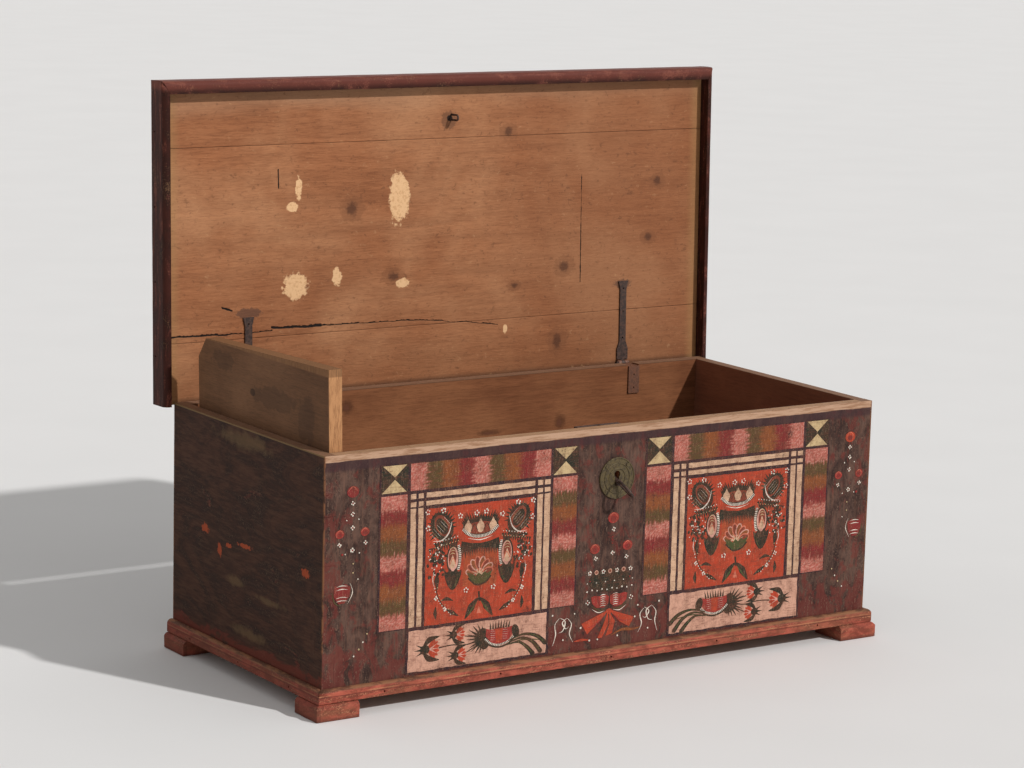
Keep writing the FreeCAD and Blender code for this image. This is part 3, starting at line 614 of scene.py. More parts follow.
@dataclass(frozen=True)
class WornRim:
    """The top edge of a wall board, worn down to pale wood with dark edges."""

    spotted: Colour = tint(100, 66, 48)
    edge: Colour = tint(74, 46, 36)
    shaded: Colour = tint(96, 64, 50)

    def paint(self, graph: Graph, bare: Any, grain: Axis) -> Any:
        """Adds the worn edge to a material.

        Args:
            graph: The material.
            bare: The colour of the bare wood under it.
            grain: The way that the board's grain runs.

        Returns:
            The colour.
        """
        lines = graph.noise(2.6, grain.value, detail=4, rough=0.7, shift=31.0)
        spots = graph.noise(14, detail=5, rough=0.7, warp=0.4, shift=33.0)
        out = (abs(graph.x) - (HALF_LENGTH - HALF_DEPTH)).most(abs(graph.y))
        inner = 1 - out.over(HALF_DEPTH - WALL + 0.0008, 0.0009)
        outer = out.over(HALF_DEPTH - 0.0015, 0.0009)
        on_side = abs(graph.x).over(HALF_LENGTH - WALL, 0.001)
        on_back = graph.y.over(HALF_DEPTH - 0.035, 0.001)
        worn = graph.coats(
            RIM_WORN,
            (lines.over(0.54, 0.1) * 0.7, RIM_BROWN),
            (spots.over(0.62, 0.05) * 0.5, self.spotted),
            (inner.most(outer) * 0.75, self.edge),
            (on_side.most(on_back) * 0.6, self.shaded),
        )
        return graph.blend(graph.z.over(RIM - 0.0013, 0.0005), bare, worn)


@dataclass(frozen=True)
class WallFinish:
    """A wall board's finish: painted outside, bare inside, worn at its top."""

    name: str
    wood: Wood
    rubbed: Colour = tint(128, 84, 56)
    front: FrontGround = FrontGround()
    side: SideGround = SideGround()
    rim: WornRim = WornRim()

    def material(self) -> bpy.types.Material:
        """Makes the material.

        Returns:
            The material.
        """
        graph = Graph(self.name)
        bare, relief = self.wood.paint(graph)
        bare = graph.stain(bare, (graph.x, graph.z), *BACK_STAINS)
        fine = graph.noise(1.9, (1, 1, 1.6), rough=0.7, shift=4.0)
        front, front_relief = self.front.paint(graph, fine)
        side, side_relief = self.side.paint(graph, fine)
        across, through = abs(graph.x), abs(graph.y)
        on_side = across.over(HALF_LENGTH - 0.0012, 0.0004)
        on_front = through.over(HALF_DEPTH - 0.0012, 0.0004)
        corner = across.over(HALF_LENGTH - 0.0028, 0.0014)
        corner *= through.over(HALF_DEPTH - 0.0028, 0.0014)
        rubs = graph.noise(16, (1, 1, 2), detail=5, rough=0.7, warp=0.3, shift=14.0)
        painted = graph.coats(
            front, (on_side, side), (corner * rubs.over(0.47, 0.06) * 0.7, self.rubbed)
        )
        inside = self.rim.paint(graph, bare, self.wood.grain)
        colour = graph.blend(on_side.most(on_front), inside, painted)
        height = (relief + front_relief + side_relief) * 0.3 + fine * 0.2
        return graph.finish(colour, 0.6 + fine * 0.2, height, depth=0.6, specular=0.1)


@dataclass(frozen=True)
class BareFinish:
    """Plain bare wood."""

    name: str
    wood: Wood

    def material(self) -> bpy.types.Material:
        """Makes the material.

        Returns:
            The material.
        """
        graph = Graph(self.name)
        colour, relief = self.wood.paint(graph)
        return graph.finish(colour, 0.7, relief, depth=0.6, specular=0.1)


@dataclass(frozen=True)
class TillFinish:
    """The till's wood, dirty on its faces and pale on its lid's end and edge."""

    name: str
    end: Colour = tint(184, 134, 92)
    end_fibre: Colour = tint(128, 86, 56)
    edge: Colour = tint(138, 98, 66)
    edge_fibre: Colour = tint(92, 64, 44)

    def material(self) -> bpy.types.Material:
        """Makes the material.

        Returns:
            The material.
        """
        graph = Graph(self.name)
        colour, relief = TILL_WOOD.paint(graph)
        fibre = graph.noise(1.6, (1, 1, 12), detail=4, rough=0.7, shift=41.0)
        end = graph.blend(fibre.over(0.54, 0.1) * 0.6, self.end, self.end_fibre)
        edge = graph.blend(fibre.over(0.52, 0.1) * 0.6, self.edge, self.edge_fibre)
        colour = graph.coats(
            graph.stain(colour, (graph.y, graph.z), *TILL_STAINS),
            (1 - graph.y.over(TILL_LID_END, 0.0006), end),
            (graph.z.over(TILL_LID_TOP, 0.0012) * 0.8, edge),
        )
        return graph.finish(colour, 0.68, relief, depth=0.6, specular=0.1)


@dataclass(frozen=True)
class LidFinish:
    """The lid's wood, with its patches, knots, cracks and stains, and its painted outside."""

    name: str
    high: Colour = tint(176, 142, 112)
    right: Colour = tint(124, 74, 46)
    # Painted shade along the lid's foot.
    foot: Colour = tint(58, 36, 27)
    low: Colour = tint(122, 82, 54)
    dusty: Colour = tint(86, 54, 36)
    cleaned: Colour = tint(196, 152, 110)
    ends: Colour = tint(180, 142, 92)
    patch_grain: Colour = tint(190, 138, 92)
    crack: Colour = tint(26, 16, 12)
    paint_light: Colour = tint(82, 58, 50)
    paint_dark: Colour = tint(50, 35, 32)
    paint_streak: Colour = tint(42, 30, 28)

    def material(self) -> bpy.types.Material:
        """Makes the material.

        Returns:
            The material.
        """
        graph = Graph(self.name)
        wood, relief = LID_WOOD.paint(graph)
        up = graph.z - LID_FOOT
        inside = self.worn(graph, wood, up)
        inside = graph.stain(inside, (graph.x, up), *LID_KNOT_STAINS)
        grain = graph.noise(5, detail=4, rough=0.7, warp=0.3, shift=61.0).over(0.56, 0.06)
        patch = graph.blend(grain * 0.5, LID_PATCHES.tone, self.patch_grain)
        inside = graph.blend(graph.stained((graph.x, up), LID_PATCHES), inside, patch)
        inside = graph.stain(inside, (graph.x, up), *LID_IRON_STAINS)
        crack = self.cracks(graph, up)
        inside = graph.blend(crack, inside, self.crack)
        outside = graph.y.over(LID_OUTSIDE, 0.0005)
        colour = graph.blend(outside, inside, self.paint(graph))
        height = relief - crack * (1 - outside) * 1.5
        return graph.finish(colour, 0.62, height, depth=0.7, specular=0.15)

    def worn(self, graph: Graph, wood: Any, up: Value) -> Any:
        """Makes the inside lighter at the top and the ends and darker on the right and low down,
        lays dust and cleaner patches, and paints shade in a dark band along the foot.

        Args:
            graph: The material.
            wood: The wood's colour.
            up: The height above the lid's foot, in metres.

        Returns:
            The colour.
        """
        high = (up + (graph.noise(120, (3, 1, 1)) - 0.5) * 0.12).over(0.545, 0.03)
        right = (graph.x + (graph.noise(200) - 0.5) * 0.3).over(0.2, 0.16)
        dust = graph.noise(9, (1.4, 1, 1), detail=6, rough=0.75, warp=0.4, shift=51.0)
        return graph.coats(
            wood,
            (high * 0.4, self.high),
            (right * 0.4, self.right),
            # Painted shade: a dark band along the lid's foot, just over the rim.
            ((1 - up.over(0.004, 0.005)) * 0.75, self.foot),
            ((1 - up.over(0.05, 0.05)) * 0.3, self.low),
            (dust.over(0.61, 0.05) * 0.45, self.dusty),
            ((1 - dust).over(0.64, 0.05) * 0.3, self.cleaned),
            (abs(graph.x).over(HALF_LENGTH - 0.015, 0.012) * 0.3, self.ends),
        )

    def cracks(self, graph: Graph, up: Value) -> Value:
        """Finds where the boards are cracked.

        Args:
            graph: The material.
            up: The height above the lid's foot, in metres.

        Returns:
            A mask.
        """
        broad = graph.noise(60, detail=4, rough=0.65, shift=71.0) - 0.5
        waver = graph.noise(9, rough=0.6, shift=73.0) - 0.5
        torn = up + (broad * 12 + waver * 4) * MM
        crack = None
        for start, end, wide in LID_CRACKS:
            near = graph.run((graph.x, torn), start, end) + broad * 3 + waver * 3
            mask = 1 - near.over(wide, 0.5)
            crack = mask if crack is None else crack.most(mask)
        return crack

    def paint(self, graph: Graph) -> Any:
        """Mixes the dark paint of the outside.

        Args:
            graph: The material.

        Returns:
            The colour.
        """
        fine = graph.noise(1.9, (1.6, 1, 1), rough=0.7, shift=4.0)
        mottle = graph.noise(40, (1.8, 1, 1), detail=6, rough=0.72, warp=0.5, shift=83.0)
        streak = graph.noise(4, (9, 1, 1), detail=5, rough=0.7, shift=85.0)
        return graph.coats(
            self.paint_light,
            (mottle.over(0.5, 0.15), self.paint_dark),
            (streak.over(0.55, 0.07) * 0.5, self.paint_streak),
            ((streak * fine).over(0.345, 0.04) * 0.6, GROUND_WORN),
        )


@dataclass(frozen=True)
class PlinthFinish:
    """The plinth's and the feet's orange-red paint, dirty and rubbed along it, with a painted
    highlight along its arris, a painted shade line under that and painted shade on its left faces.
    """

    name: str
    light: Colour = tint(172, 88, 70)
    dark: Colour = tint(122, 60, 47)
    dirty: Colour = tint(88, 48, 38)
    rubbed: Colour = tint(122, 84, 60)
    chalky: Colour = tint(206, 138, 104)
    # Painted highlight along the plinth's arris.
    arris_highlight: Colour = tint(196, 146, 104)
    # Painted shade line just under the arris.
    profile_shade: Colour = tint(82, 42, 36)
    top: Colour = tint(136, 96, 68)
    top_dark: Colour = tint(84, 58, 44)
    under: Colour = tint(82, 48, 40)
    shaded: Colour = tint(84, 46, 38)

    def material(self) -> bpy.types.Material:
        """Makes the material.

        Returns:
            The material.
        """
        graph = Graph(self.name)
        long = graph.noise(5, (9, 9, 1), detail=5, rough=0.7, warp=0.3)
        mottle = graph.noise(20, (2, 2, 1), detail=6, rough=0.72, warp=0.5, shift=3.0)
        fine = graph.noise(2.2, rough=0.7, shift=4.0)
        rubs = graph.noise(34, (5, 5, 1), detail=5, rough=0.7, warp=0.5, shift=9.0)
        arris_highlight = 1 - abs(graph.z - PLINTH_ARRIS).over(0.0008, 0.0005)
        profile_shade = 1 - abs(graph.z - PLINTH_SHADE_LINE).over(0.0009, 0.0006)
        top = graph.blend(long.over(0.5, 0.08), self.top, self.top_dark)
        under = 1 - (graph.z + mottle * 0.006).over(0.0085, 0.003)
        colour = graph.coats(
            self.light,
            (mottle.over(0.5, 0.12), self.dark),
            (long.over(0.55, 0.06) * 0.7, self.dirty),
            (rubs.over(0.54, 0.07) * 0.4, self.rubbed),
            ((long * fine).over(0.33, 0.04) * 0.55, self.chalky),
            # Painted highlight along the arris.
            (arris_highlight * long.over(0.47, 0.08) * 0.5, self.arris_highlight),
            # Painted shade line under the arris.
            (profile_shade * 0.6, self.profile_shade),
            (graph.z.over(PLINTH_TOP, 0.0016) * 0.85, top),
            (under * 0.55, self.under),
            ((-graph.x).over(PLINTH_LEFT, 0.0008) * 0.45, self.shaded),
        )
        height = long + fine * 0.4
        return graph.finish(colour, 0.58 + fine * 0.2, height, depth=0.6, specular=0.12)


@dataclass(frozen=True)
class MouldingFinish:
    """The lid mouldings' dark maroon paint, rubbed pink in streaks along them, with the front
    moulding painted lighter and redder as a painted highlight.
    """

    name: str
    light: Colour = tint(60, 27, 19)
    dark: Colour = tint(40, 19, 14)
    worn: Colour = tint(96, 46, 38)
    # Painted highlight of the front moulding.
    front: Colour = tint(116, 62, 52)
    rubbed: Colour = tint(158, 98, 78)
    dusty: Colour = tint(150, 112, 80)

    def material(self) -> bpy.types.Material:
        """Makes the material.

        Returns:
            The material.
        """
        graph = Graph(self.name)
        long = graph.noise(6, (9, 1, 9), detail=5, rough=0.7, warp=0.4)
        mottle = graph.noise(26, (2, 1, 2), detail=6, rough=0.72, warp=0.5, shift=3.0)
        fine = graph.noise(2.0, rough=0.7, shift=4.0)
        # The front moulding, at the top of the open lid, gets a painted highlight.
        front = graph.z.over(LID_FRONT_EDGE, 0.006)
        colour = graph.coats(
            self.light,
            (mottle.over(0.5, 0.16), self.dark),
            (long.over(0.56, 0.08) * 0.35, self.worn),
            # Painted highlight: the front moulding lighter and redder.
            (front * 0.6, self.front),
            ((long * 0.6 + fine * 0.4 + front * 0.02).over(0.57, 0.03) * 0.3, self.rubbed),
            ((mottle * fine).over(0.36, 0.03) * 0.4, self.dusty),
        )
        height = long + fine * 0.4
        return graph.finish(colour, 0.52 + fine * 0.2, height, depth=0.6, specular=0.12)


@dataclass(frozen=True)
class MetalFinish:
    """An old metal, with rust or tarnish in patches."""

    name: str
    body: Colour
    rust: Colour
    bright: float

    def material(self) -> bpy.types.Material:
        """Makes the material.

        Returns:
            The material.
        """
        graph = Graph(self.name)
        scale = graph.noise(5, detail=4, rough=0.6)
        fine = graph.noise(1.2, detail=2, rough=0.6, shift=3.0)
        rusty = scale.over(0.52, 0.1)
        colour = graph.coats(
            self.body, (rusty * 0.8, self.rust), (fine.over(0.6, 0.1) * 0.3, self.rust)
        )
        metallic = (1 - rusty) * self.bright
        return graph.finish(colour, 0.5 + rusty * 0.3, scale + fine * 0.3, 0.5, metallic, 0.4)


@dataclass(frozen=True)
class PaintingFinish:
    """Painted flowers or bands, which wear the mesh's own colours under dirt and chips."""

    name: str
    dirty: Colour = tint(96, 58, 42)
    dusty: Colour = tint(214, 168, 136)
    scratched: Colour = tint(104, 60, 48)

    def material(self) -> bpy.types.Material:
        """Makes the material.

        Returns:
            The material.
        """
        graph = Graph(self.name)
        drawn = graph.node("ShaderNodeAttribute", {"attribute_name": "paint"}).outputs["Color"]
        mottle = graph.noise(15, (1, 1, 1.4), detail=6, rough=0.72, warp=0.4)
        streak = graph.noise(2.6, (1, 1, 7), detail=5, rough=0.7, shift=7.0)
        fine = graph.noise(1.6, rough=0.7, shift=4.0)
        scratch = graph.noise(2.4, (8, 1, 1), detail=4, rough=0.75, shift=15.0)
        colour = graph.coats(
            drawn,
            ((streak * 0.5 + fine * 0.5).over(0.585, 0.035) * 0.65, GROUND),
            (mottle.over(0.5, 0.12) * 0.36, self.dirty),
            ((1 - streak * fine * 2).over(0.62, 0.05) * 0.22, self.dusty),
            (scratch.over(0.58, 0.04) * 0.45, self.scratched),
            ((mottle * 0.6 + fine * 0.4).over(0.605, 0.02) * 0.85, GROUND_DEEP),
        )
        height = streak + fine * 0.6
        return graph.finish(colour, 0.6 + fine * 0.2, height, depth=0.35, specular=0.1)


@dataclass(frozen=True)
class DabFinish:
    """The raised dabs of one colour."""

    name: str
    paint: Colour

    def material(self) -> bpy.types.Material:
        """Makes the material.

        Returns:
            The material.
        """
        graph = Graph(self.name)
        fine = graph.noise(1.4, rough=0.7)
        colour = graph.blend(fine.over(0.5, 0.1) * 0.3, self.paint, GROUND)
        return graph.finish(colour, 0.6, fine, depth=0.2, specular=0.1)


# Worn copies of CAD nodes -------------------------------------------------------------------


# Two angles in radians, and how large and how deep the local dents are beside the broad ones.
FLAT_ANGLE = 0.01
SHARP_ANGLE = 0.6
BEVEL_PROFILE = 0.6
LOCAL_WAVE = 0.22
LOCAL_SHARE = 0.4


@dataclass(frozen=True)
class Wear:
    """How a piece has worn, in millimetres.

    Sharp edges at least as long as `shortest` are rounded by `edge`. The faces are cut up every
    `spacing`, and their corners sink by up to `dent` in a pattern of the size `wave`.
    """

    edge: float = 1.6
    spacing: float = 30.0
    dent: float = 0.45
    wave: float = 60.0
    shortest: float = 70.0


def merged(node: str) -> bmesh.types.BMesh:
    """Copies a CAD node's triangles and merges their corners.

    Args:
        node: The CAD node.

    Returns:
        The mesh that is being worked on.
    """
    work = bmesh.new()
    work.from_mesh(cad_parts[node].data)
    bmesh.ops.remove_doubles(work, verts=work.verts, dist=WELD)
    return work


def worn_copy(node: str, wear: Wear) -> bpy.types.Object:
    """Copies a CAD node, rounds its edges and dents them, as use has done.

    Args:
        node: The CAD node.
        wear: How it has worn.

    Returns:
        The new piece, which stands for the node.
    """
    work = merged(node)
    bmesh.ops.dissolve_limit(work, angle_limit=FLAT_ANGLE, verts=work.verts, edges=work.edges)
    edges = [
        edge
        for edge in work.edges
        if len(edge.link_faces) == 2
        and edge.is_convex
        and edge.calc_face_angle() > SHARP_ANGLE
        and edge.calc_length() > wear.shortest * MM
    ]
    bmesh.ops.bevel(
        work,
        geom=edges,
        offset=wear.edge * MM,
        offset_type="OFFSET",
        segments=2,
        profile=BEVEL_PROFILE,
        affect="EDGES",
        clamp_overlap=True,
    )
    low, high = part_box(node)
    for axis in range(3):
        count = max(1, round((high[axis] - low[axis]) / (wear.spacing * MM)))
        normal = Vector([float(index == axis) for index in range(3)])
        for step in range(1, count):
            point = low.lerp(high, step / count)
            everything = work.verts[:] + work.edges[:] + work.faces[:]
            bmesh.ops.bisect_plane(
                work, geom=everything, dist=WELD, plane_co=point, plane_no=normal
            )
    work.normal_update()
    for vertex in work.verts:
        broad = noise.noise(vertex.co / (wear.wave * MM)) * 0.5 + 0.5
        local = noise.noise(vertex.co / (wear.wave * MM * LOCAL_WAVE)) * 0.5 + 0.5
        depth = (1 - LOCAL_SHARE) * broad + LOCAL_SHARE * local
        vertex.co -= vertex.normal * wear.dent * MM * depth
    mesh = bpy.data.meshes.new(f"{node}_worn")
    work.to_mesh(mesh)
    work.free()
    return add(mesh, f"{node}_worn")


def add(mesh: bpy.types.Mesh, name: str) -> bpy.types.Object:
    """Puts a mesh into the scene.

    Args:
        mesh: The mesh, with its place in it.
        name: The piece's name.

    Returns:
        The piece.
    """
    piece = bpy.data.objects.new(name, mesh)
    bpy.context.scene.collection.objects.link(piece)
    return piece


def settle(
    piece: bpy.types.Object,
    body: str,
    material: bpy.types.Material | None = None,
    replaced: Iterable[str] = (),
) -> bpy.types.Object:
    """Gives a piece its material and its body, and hides the nodes that it stands for.

    Args:
        piece: The piece.
        body: The CAD body that it rides on.
        material: Its material, or None to keep what it has.
        replaced: The CAD nodes that it stands for.

    Returns:
        The piece.
    """
    if material is not None:
        piece.data.materials.clear()
        piece.data.materials.append(material)
    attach(piece, body)
    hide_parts(*replaced)
    return piece


class Shape(Enum):
    """The small shapes that repeat: their height as a share of their radius."""

    DAB = 0.35
    NAIL = 0.45


@dataclass
class Repeats:
    """Small shapes set on points by Geometry Nodes, each turned and sized a little anew."""

    name: str
    shape: Shape
    material: bpy.types.Material
    seed: int = 1
    spread: float = 0.14

    def tree(self) -> bpy.types.NodeTree:
        """Builds the tree: points in, dressed shapes out.

        Returns:
            The tree.
        """
        tree = bpy.data.node_groups.new(f"{self.name}_tree", "GeometryNodeTree")
        panel = tree.interface
        panel.new_socket("Points", in_out="INPUT", socket_type="NodeSocketGeometry")
        for label in ("Height", "Spread"):
            panel.new_socket(label, in_out="INPUT", socket_type="NodeSocketFloat")
        panel.new_socket("Seed", in_out="INPUT", socket_type="NodeSocketInt")
        panel.new_socket("Shapes", in_out="OUTPUT", socket_type="NodeSocketGeometry")
        nodes = Nodes(tree)
        node = nodes.node
        given = node("NodeGroupInput").outputs
        height, spread = (Value(nodes, given[label]) for label in ("Height", "Spread"))
        unit = {"Vertices": 8, "Radius Top": 0.5, "Radius Bottom": 1.0, "Depth": 1.0}
        unit["Side Segments"] = 1 if self.shape is Shape.NAIL else 2
        form = node("GeometryNodeMeshCone", {"fill_type": "NGON"}, unit)
        inputs = {0: form.outputs["Mesh"], "Translation": (0, 0, 0.5)}
        seat = node("GeometryNodeTransform", {}, inputs)
        size, aim = (
            node("GeometryNodeInputNamedAttribute", {"data_type": kind}, {0: label}).outputs[0]
            for label, kind in (("size", "FLOAT"), ("aim", "FLOAT_VECTOR"))
        )
        toward = node("FunctionNodeAlignRotationToVector", {"axis": "Z"}, {"Vector": aim})
        inputs = {0: (0, 0, 0), 1: (0, 0, math.tau), "Seed": given["Seed"]}
        turn = node("FunctionNodeRandomValue", {"data_type": "FLOAT_VECTOR"}, inputs)
        inputs = {0: toward.outputs[0], 1: turn.outputs[0]}
        spun = node("FunctionNodeRotateRotation", {"rotation_space": "LOCAL"}, inputs)
        inputs = {2: 1 - spread, 3: spread + 1, "Seed": given["Seed"]}
        vary = node("FunctionNodeRandomValue", {"data_type": "FLOAT"}, inputs)
        wide = Value(nodes, size) * Value(nodes, vary.outputs[1])
        scale = node("ShaderNodeCombineXYZ", {}, {0: wide, 1: wide, 2: wide * height})
        inputs = {"Points": given["Points"], "Instance": seat.outputs[0]}
        inputs |= {"Rotation": spun.outputs[0], "Scale": scale.outputs[0]}
        placed = node("GeometryNodeInstanceOnPoints", {}, inputs)
        real = node("GeometryNodeRealizeInstances", {}, {0: placed.outputs[0]})
        inputs = {0: real.outputs[0], "Material": self.material}
        dressed = node("GeometryNodeSetMaterial", {}, inputs)
        node("NodeGroupOutput", {}, {0: dressed.outputs[0]})
        return tree

    def lay(
        self, points: Sequence[Vector], aims: Sequence[Vector], sizes: Sequence[float]
    ) -> bpy.types.Object:
        """Sets one shape on each point and makes them one plain mesh.

        Args:
            points: The places, in metres.
            aims: The way that each shape faces.
            sizes: The radius of each, in metres.

        Returns:
            The new piece.
        """
        cloud = bpy.data.meshes.new(f"{self.name}_points")
        cloud.from_pydata([tuple(point) for point in points], [], [])
        size = cloud.attributes.new("size", "FLOAT", "POINT")
        aim = cloud.attributes.new("aim", "FLOAT_VECTOR", "POINT")
        for index, (radius, way) in enumerate(zip(sizes, aims)):
            size.data[index].value = radius
            aim.data[index].vector = way
        carrier = add(cloud, f"{self.name}_carrier")
        modifier = carrier.modifiers.new("repeats", "NODES")
        modifier.node_group = self.tree()
        values = {"Height": self.shape.value, "Spread": self.spread, "Seed": self.seed}
        for item in modifier.node_group.interface.items_tree:
            if item.in_out == "INPUT" and item.name in values:
                modifier[item.identifier] = values[item.name]
        graph = bpy.context.evaluated_depsgraph_get()
        mesh = bpy.data.meshes.new_from_object(carrier.evaluated_get(graph))
        carrier.modifiers.remove(modifier)
        bpy.data.objects.remove(carrier)
        bpy.data.meshes.remove(cloud)
        mesh.name = self.name
        return add(mesh, self.name)


@dataclass
class WoodWork:
    """The boards, the mouldings and the feet: worn copies of the CAD's solids."""

    board_wear: Wear = Wear()
    trim_wear: Wear = Wear(edge=2.0, spacing=20.0, dent=0.9, wave=40.0, shortest=20.0)

    def build(self) -> None:
        """Builds and dresses every wooden piece."""
        wall = WallFinish("carcass_long_boards", BACK_WOOD).material()
        side = WallFinish("carcass_side_boards", RIGHT_WOOD).material()
        hidden = BareFinish("bottom_wood", HIDDEN_WOOD).material()
        till = TillFinish("till_wood").material()
        lid = LidFinish("lid_wood_inside").material()
        red = PlinthFinish("plinth_paint").material()
        maroon = MouldingFinish("moulding_paint").material()
        board, trim = self.board_wear, self.trim_wear
        self.dress("carcass", "carcass_wood", wall, board, "front_board", "back_board")
        self.dress("carcass", "carcass_wood", side, board, "left_side_board", "right_side_board")
        bottoms = [f"bottom_board_{number}" for number in (1, 2, 3)]
        self.dress("carcass", "bare_wood", hidden, board, *bottoms)
        self.dress("carcass", "bare_wood", till, board, "till_side", "till_bottom")
        self.dress("till_lid", "bare_wood", till, board, "till_lid")
        plinths = [f"plinth_{place}" for place in ("front", "left", "right")]
        feet = [f"foot_{end}_{hand}" for end in ("front", "rear") for hand in ("left", "right")]
        self.dress("carcass", "red_wood", red, trim, *plinths, *feet)
        boards = [f"lid_board_{place}" for place in ("front", "middle", "rear")]
        self.dress("lid", "lid_wood", lid, board, *boards)
        mouldings = [f"lid_moulding_{place}" for place in ("front", "left", "right")]
        self.dress("lid", "moulding_wood", maroon, trim, *mouldings)

    def dress(
        self, body: str, slot: str, material: bpy.types.Material, wear: Wear, *nodes: str
    ) -> None:
        """Makes worn copies of nodes that move, wear and look alike.

        Args:
            body: The CAD body that they ride on.
            slot: The record's material slot, which is not used.
            material: Their material.
            wear: How they have worn.
            *nodes: The CAD nodes.
        """
        for node in nodes:
            piece = settle(worn_copy(node, wear), body, material, [node])
            log.info("%s: %d faces", piece.name, len(piece.data.polygons))


# The painting on the front ------------------------------------------------------------------


class Paint(Enum):
    """The painter's colours."""

    GROUND = tint(74, 56, 52)
    LINE = tint(46, 34, 40)
    LEAF = tint(40, 42, 34)
    MOSS = tint(66, 76, 44)
    CREAM = tint(204, 166, 136)
    ROSY_CREAM = tint(200, 152, 130)
    STRAW = tint(194, 168, 126)
    WHITE = tint(226, 214, 198)
    PINK = tint(170, 88, 76)
    BLUSH = tint(206, 152, 136)
    CRIMSON = tint(124, 42, 42)
    OCHRE = tint(134, 76, 42)
    OLIVE = tint(86, 68, 40)
    RED = tint(174, 64, 42)
    BROWN = tint(160, 72, 44)
    UMBER = tint(124, 58, 44)
    SALMON = tint(200, 112, 88)
    ROSE = tint(150, 50, 46)


BAND_DOWN = [Paint.PINK, Paint.CRIMSON, Paint.OCHRE, Paint.OLIVE] * 2 + [Paint.PINK]
BAND_UP = BAND_DOWN[::-1]
TICK_PITCH = 4.2
TICK_WIDTH = 1.5
WOBBLE_PITCH = 9


class Taper(Enum):
    """How a brush stroke's width changes from its start to its end."""

    EVEN = (1.0, 1.0, 1.0)
    LEAF = (0.15, 1.0, 0.1)
    SPIKE = (1.0, 0.6, 0.05)
    CLUB = (0.2, 0.55, 1.0)


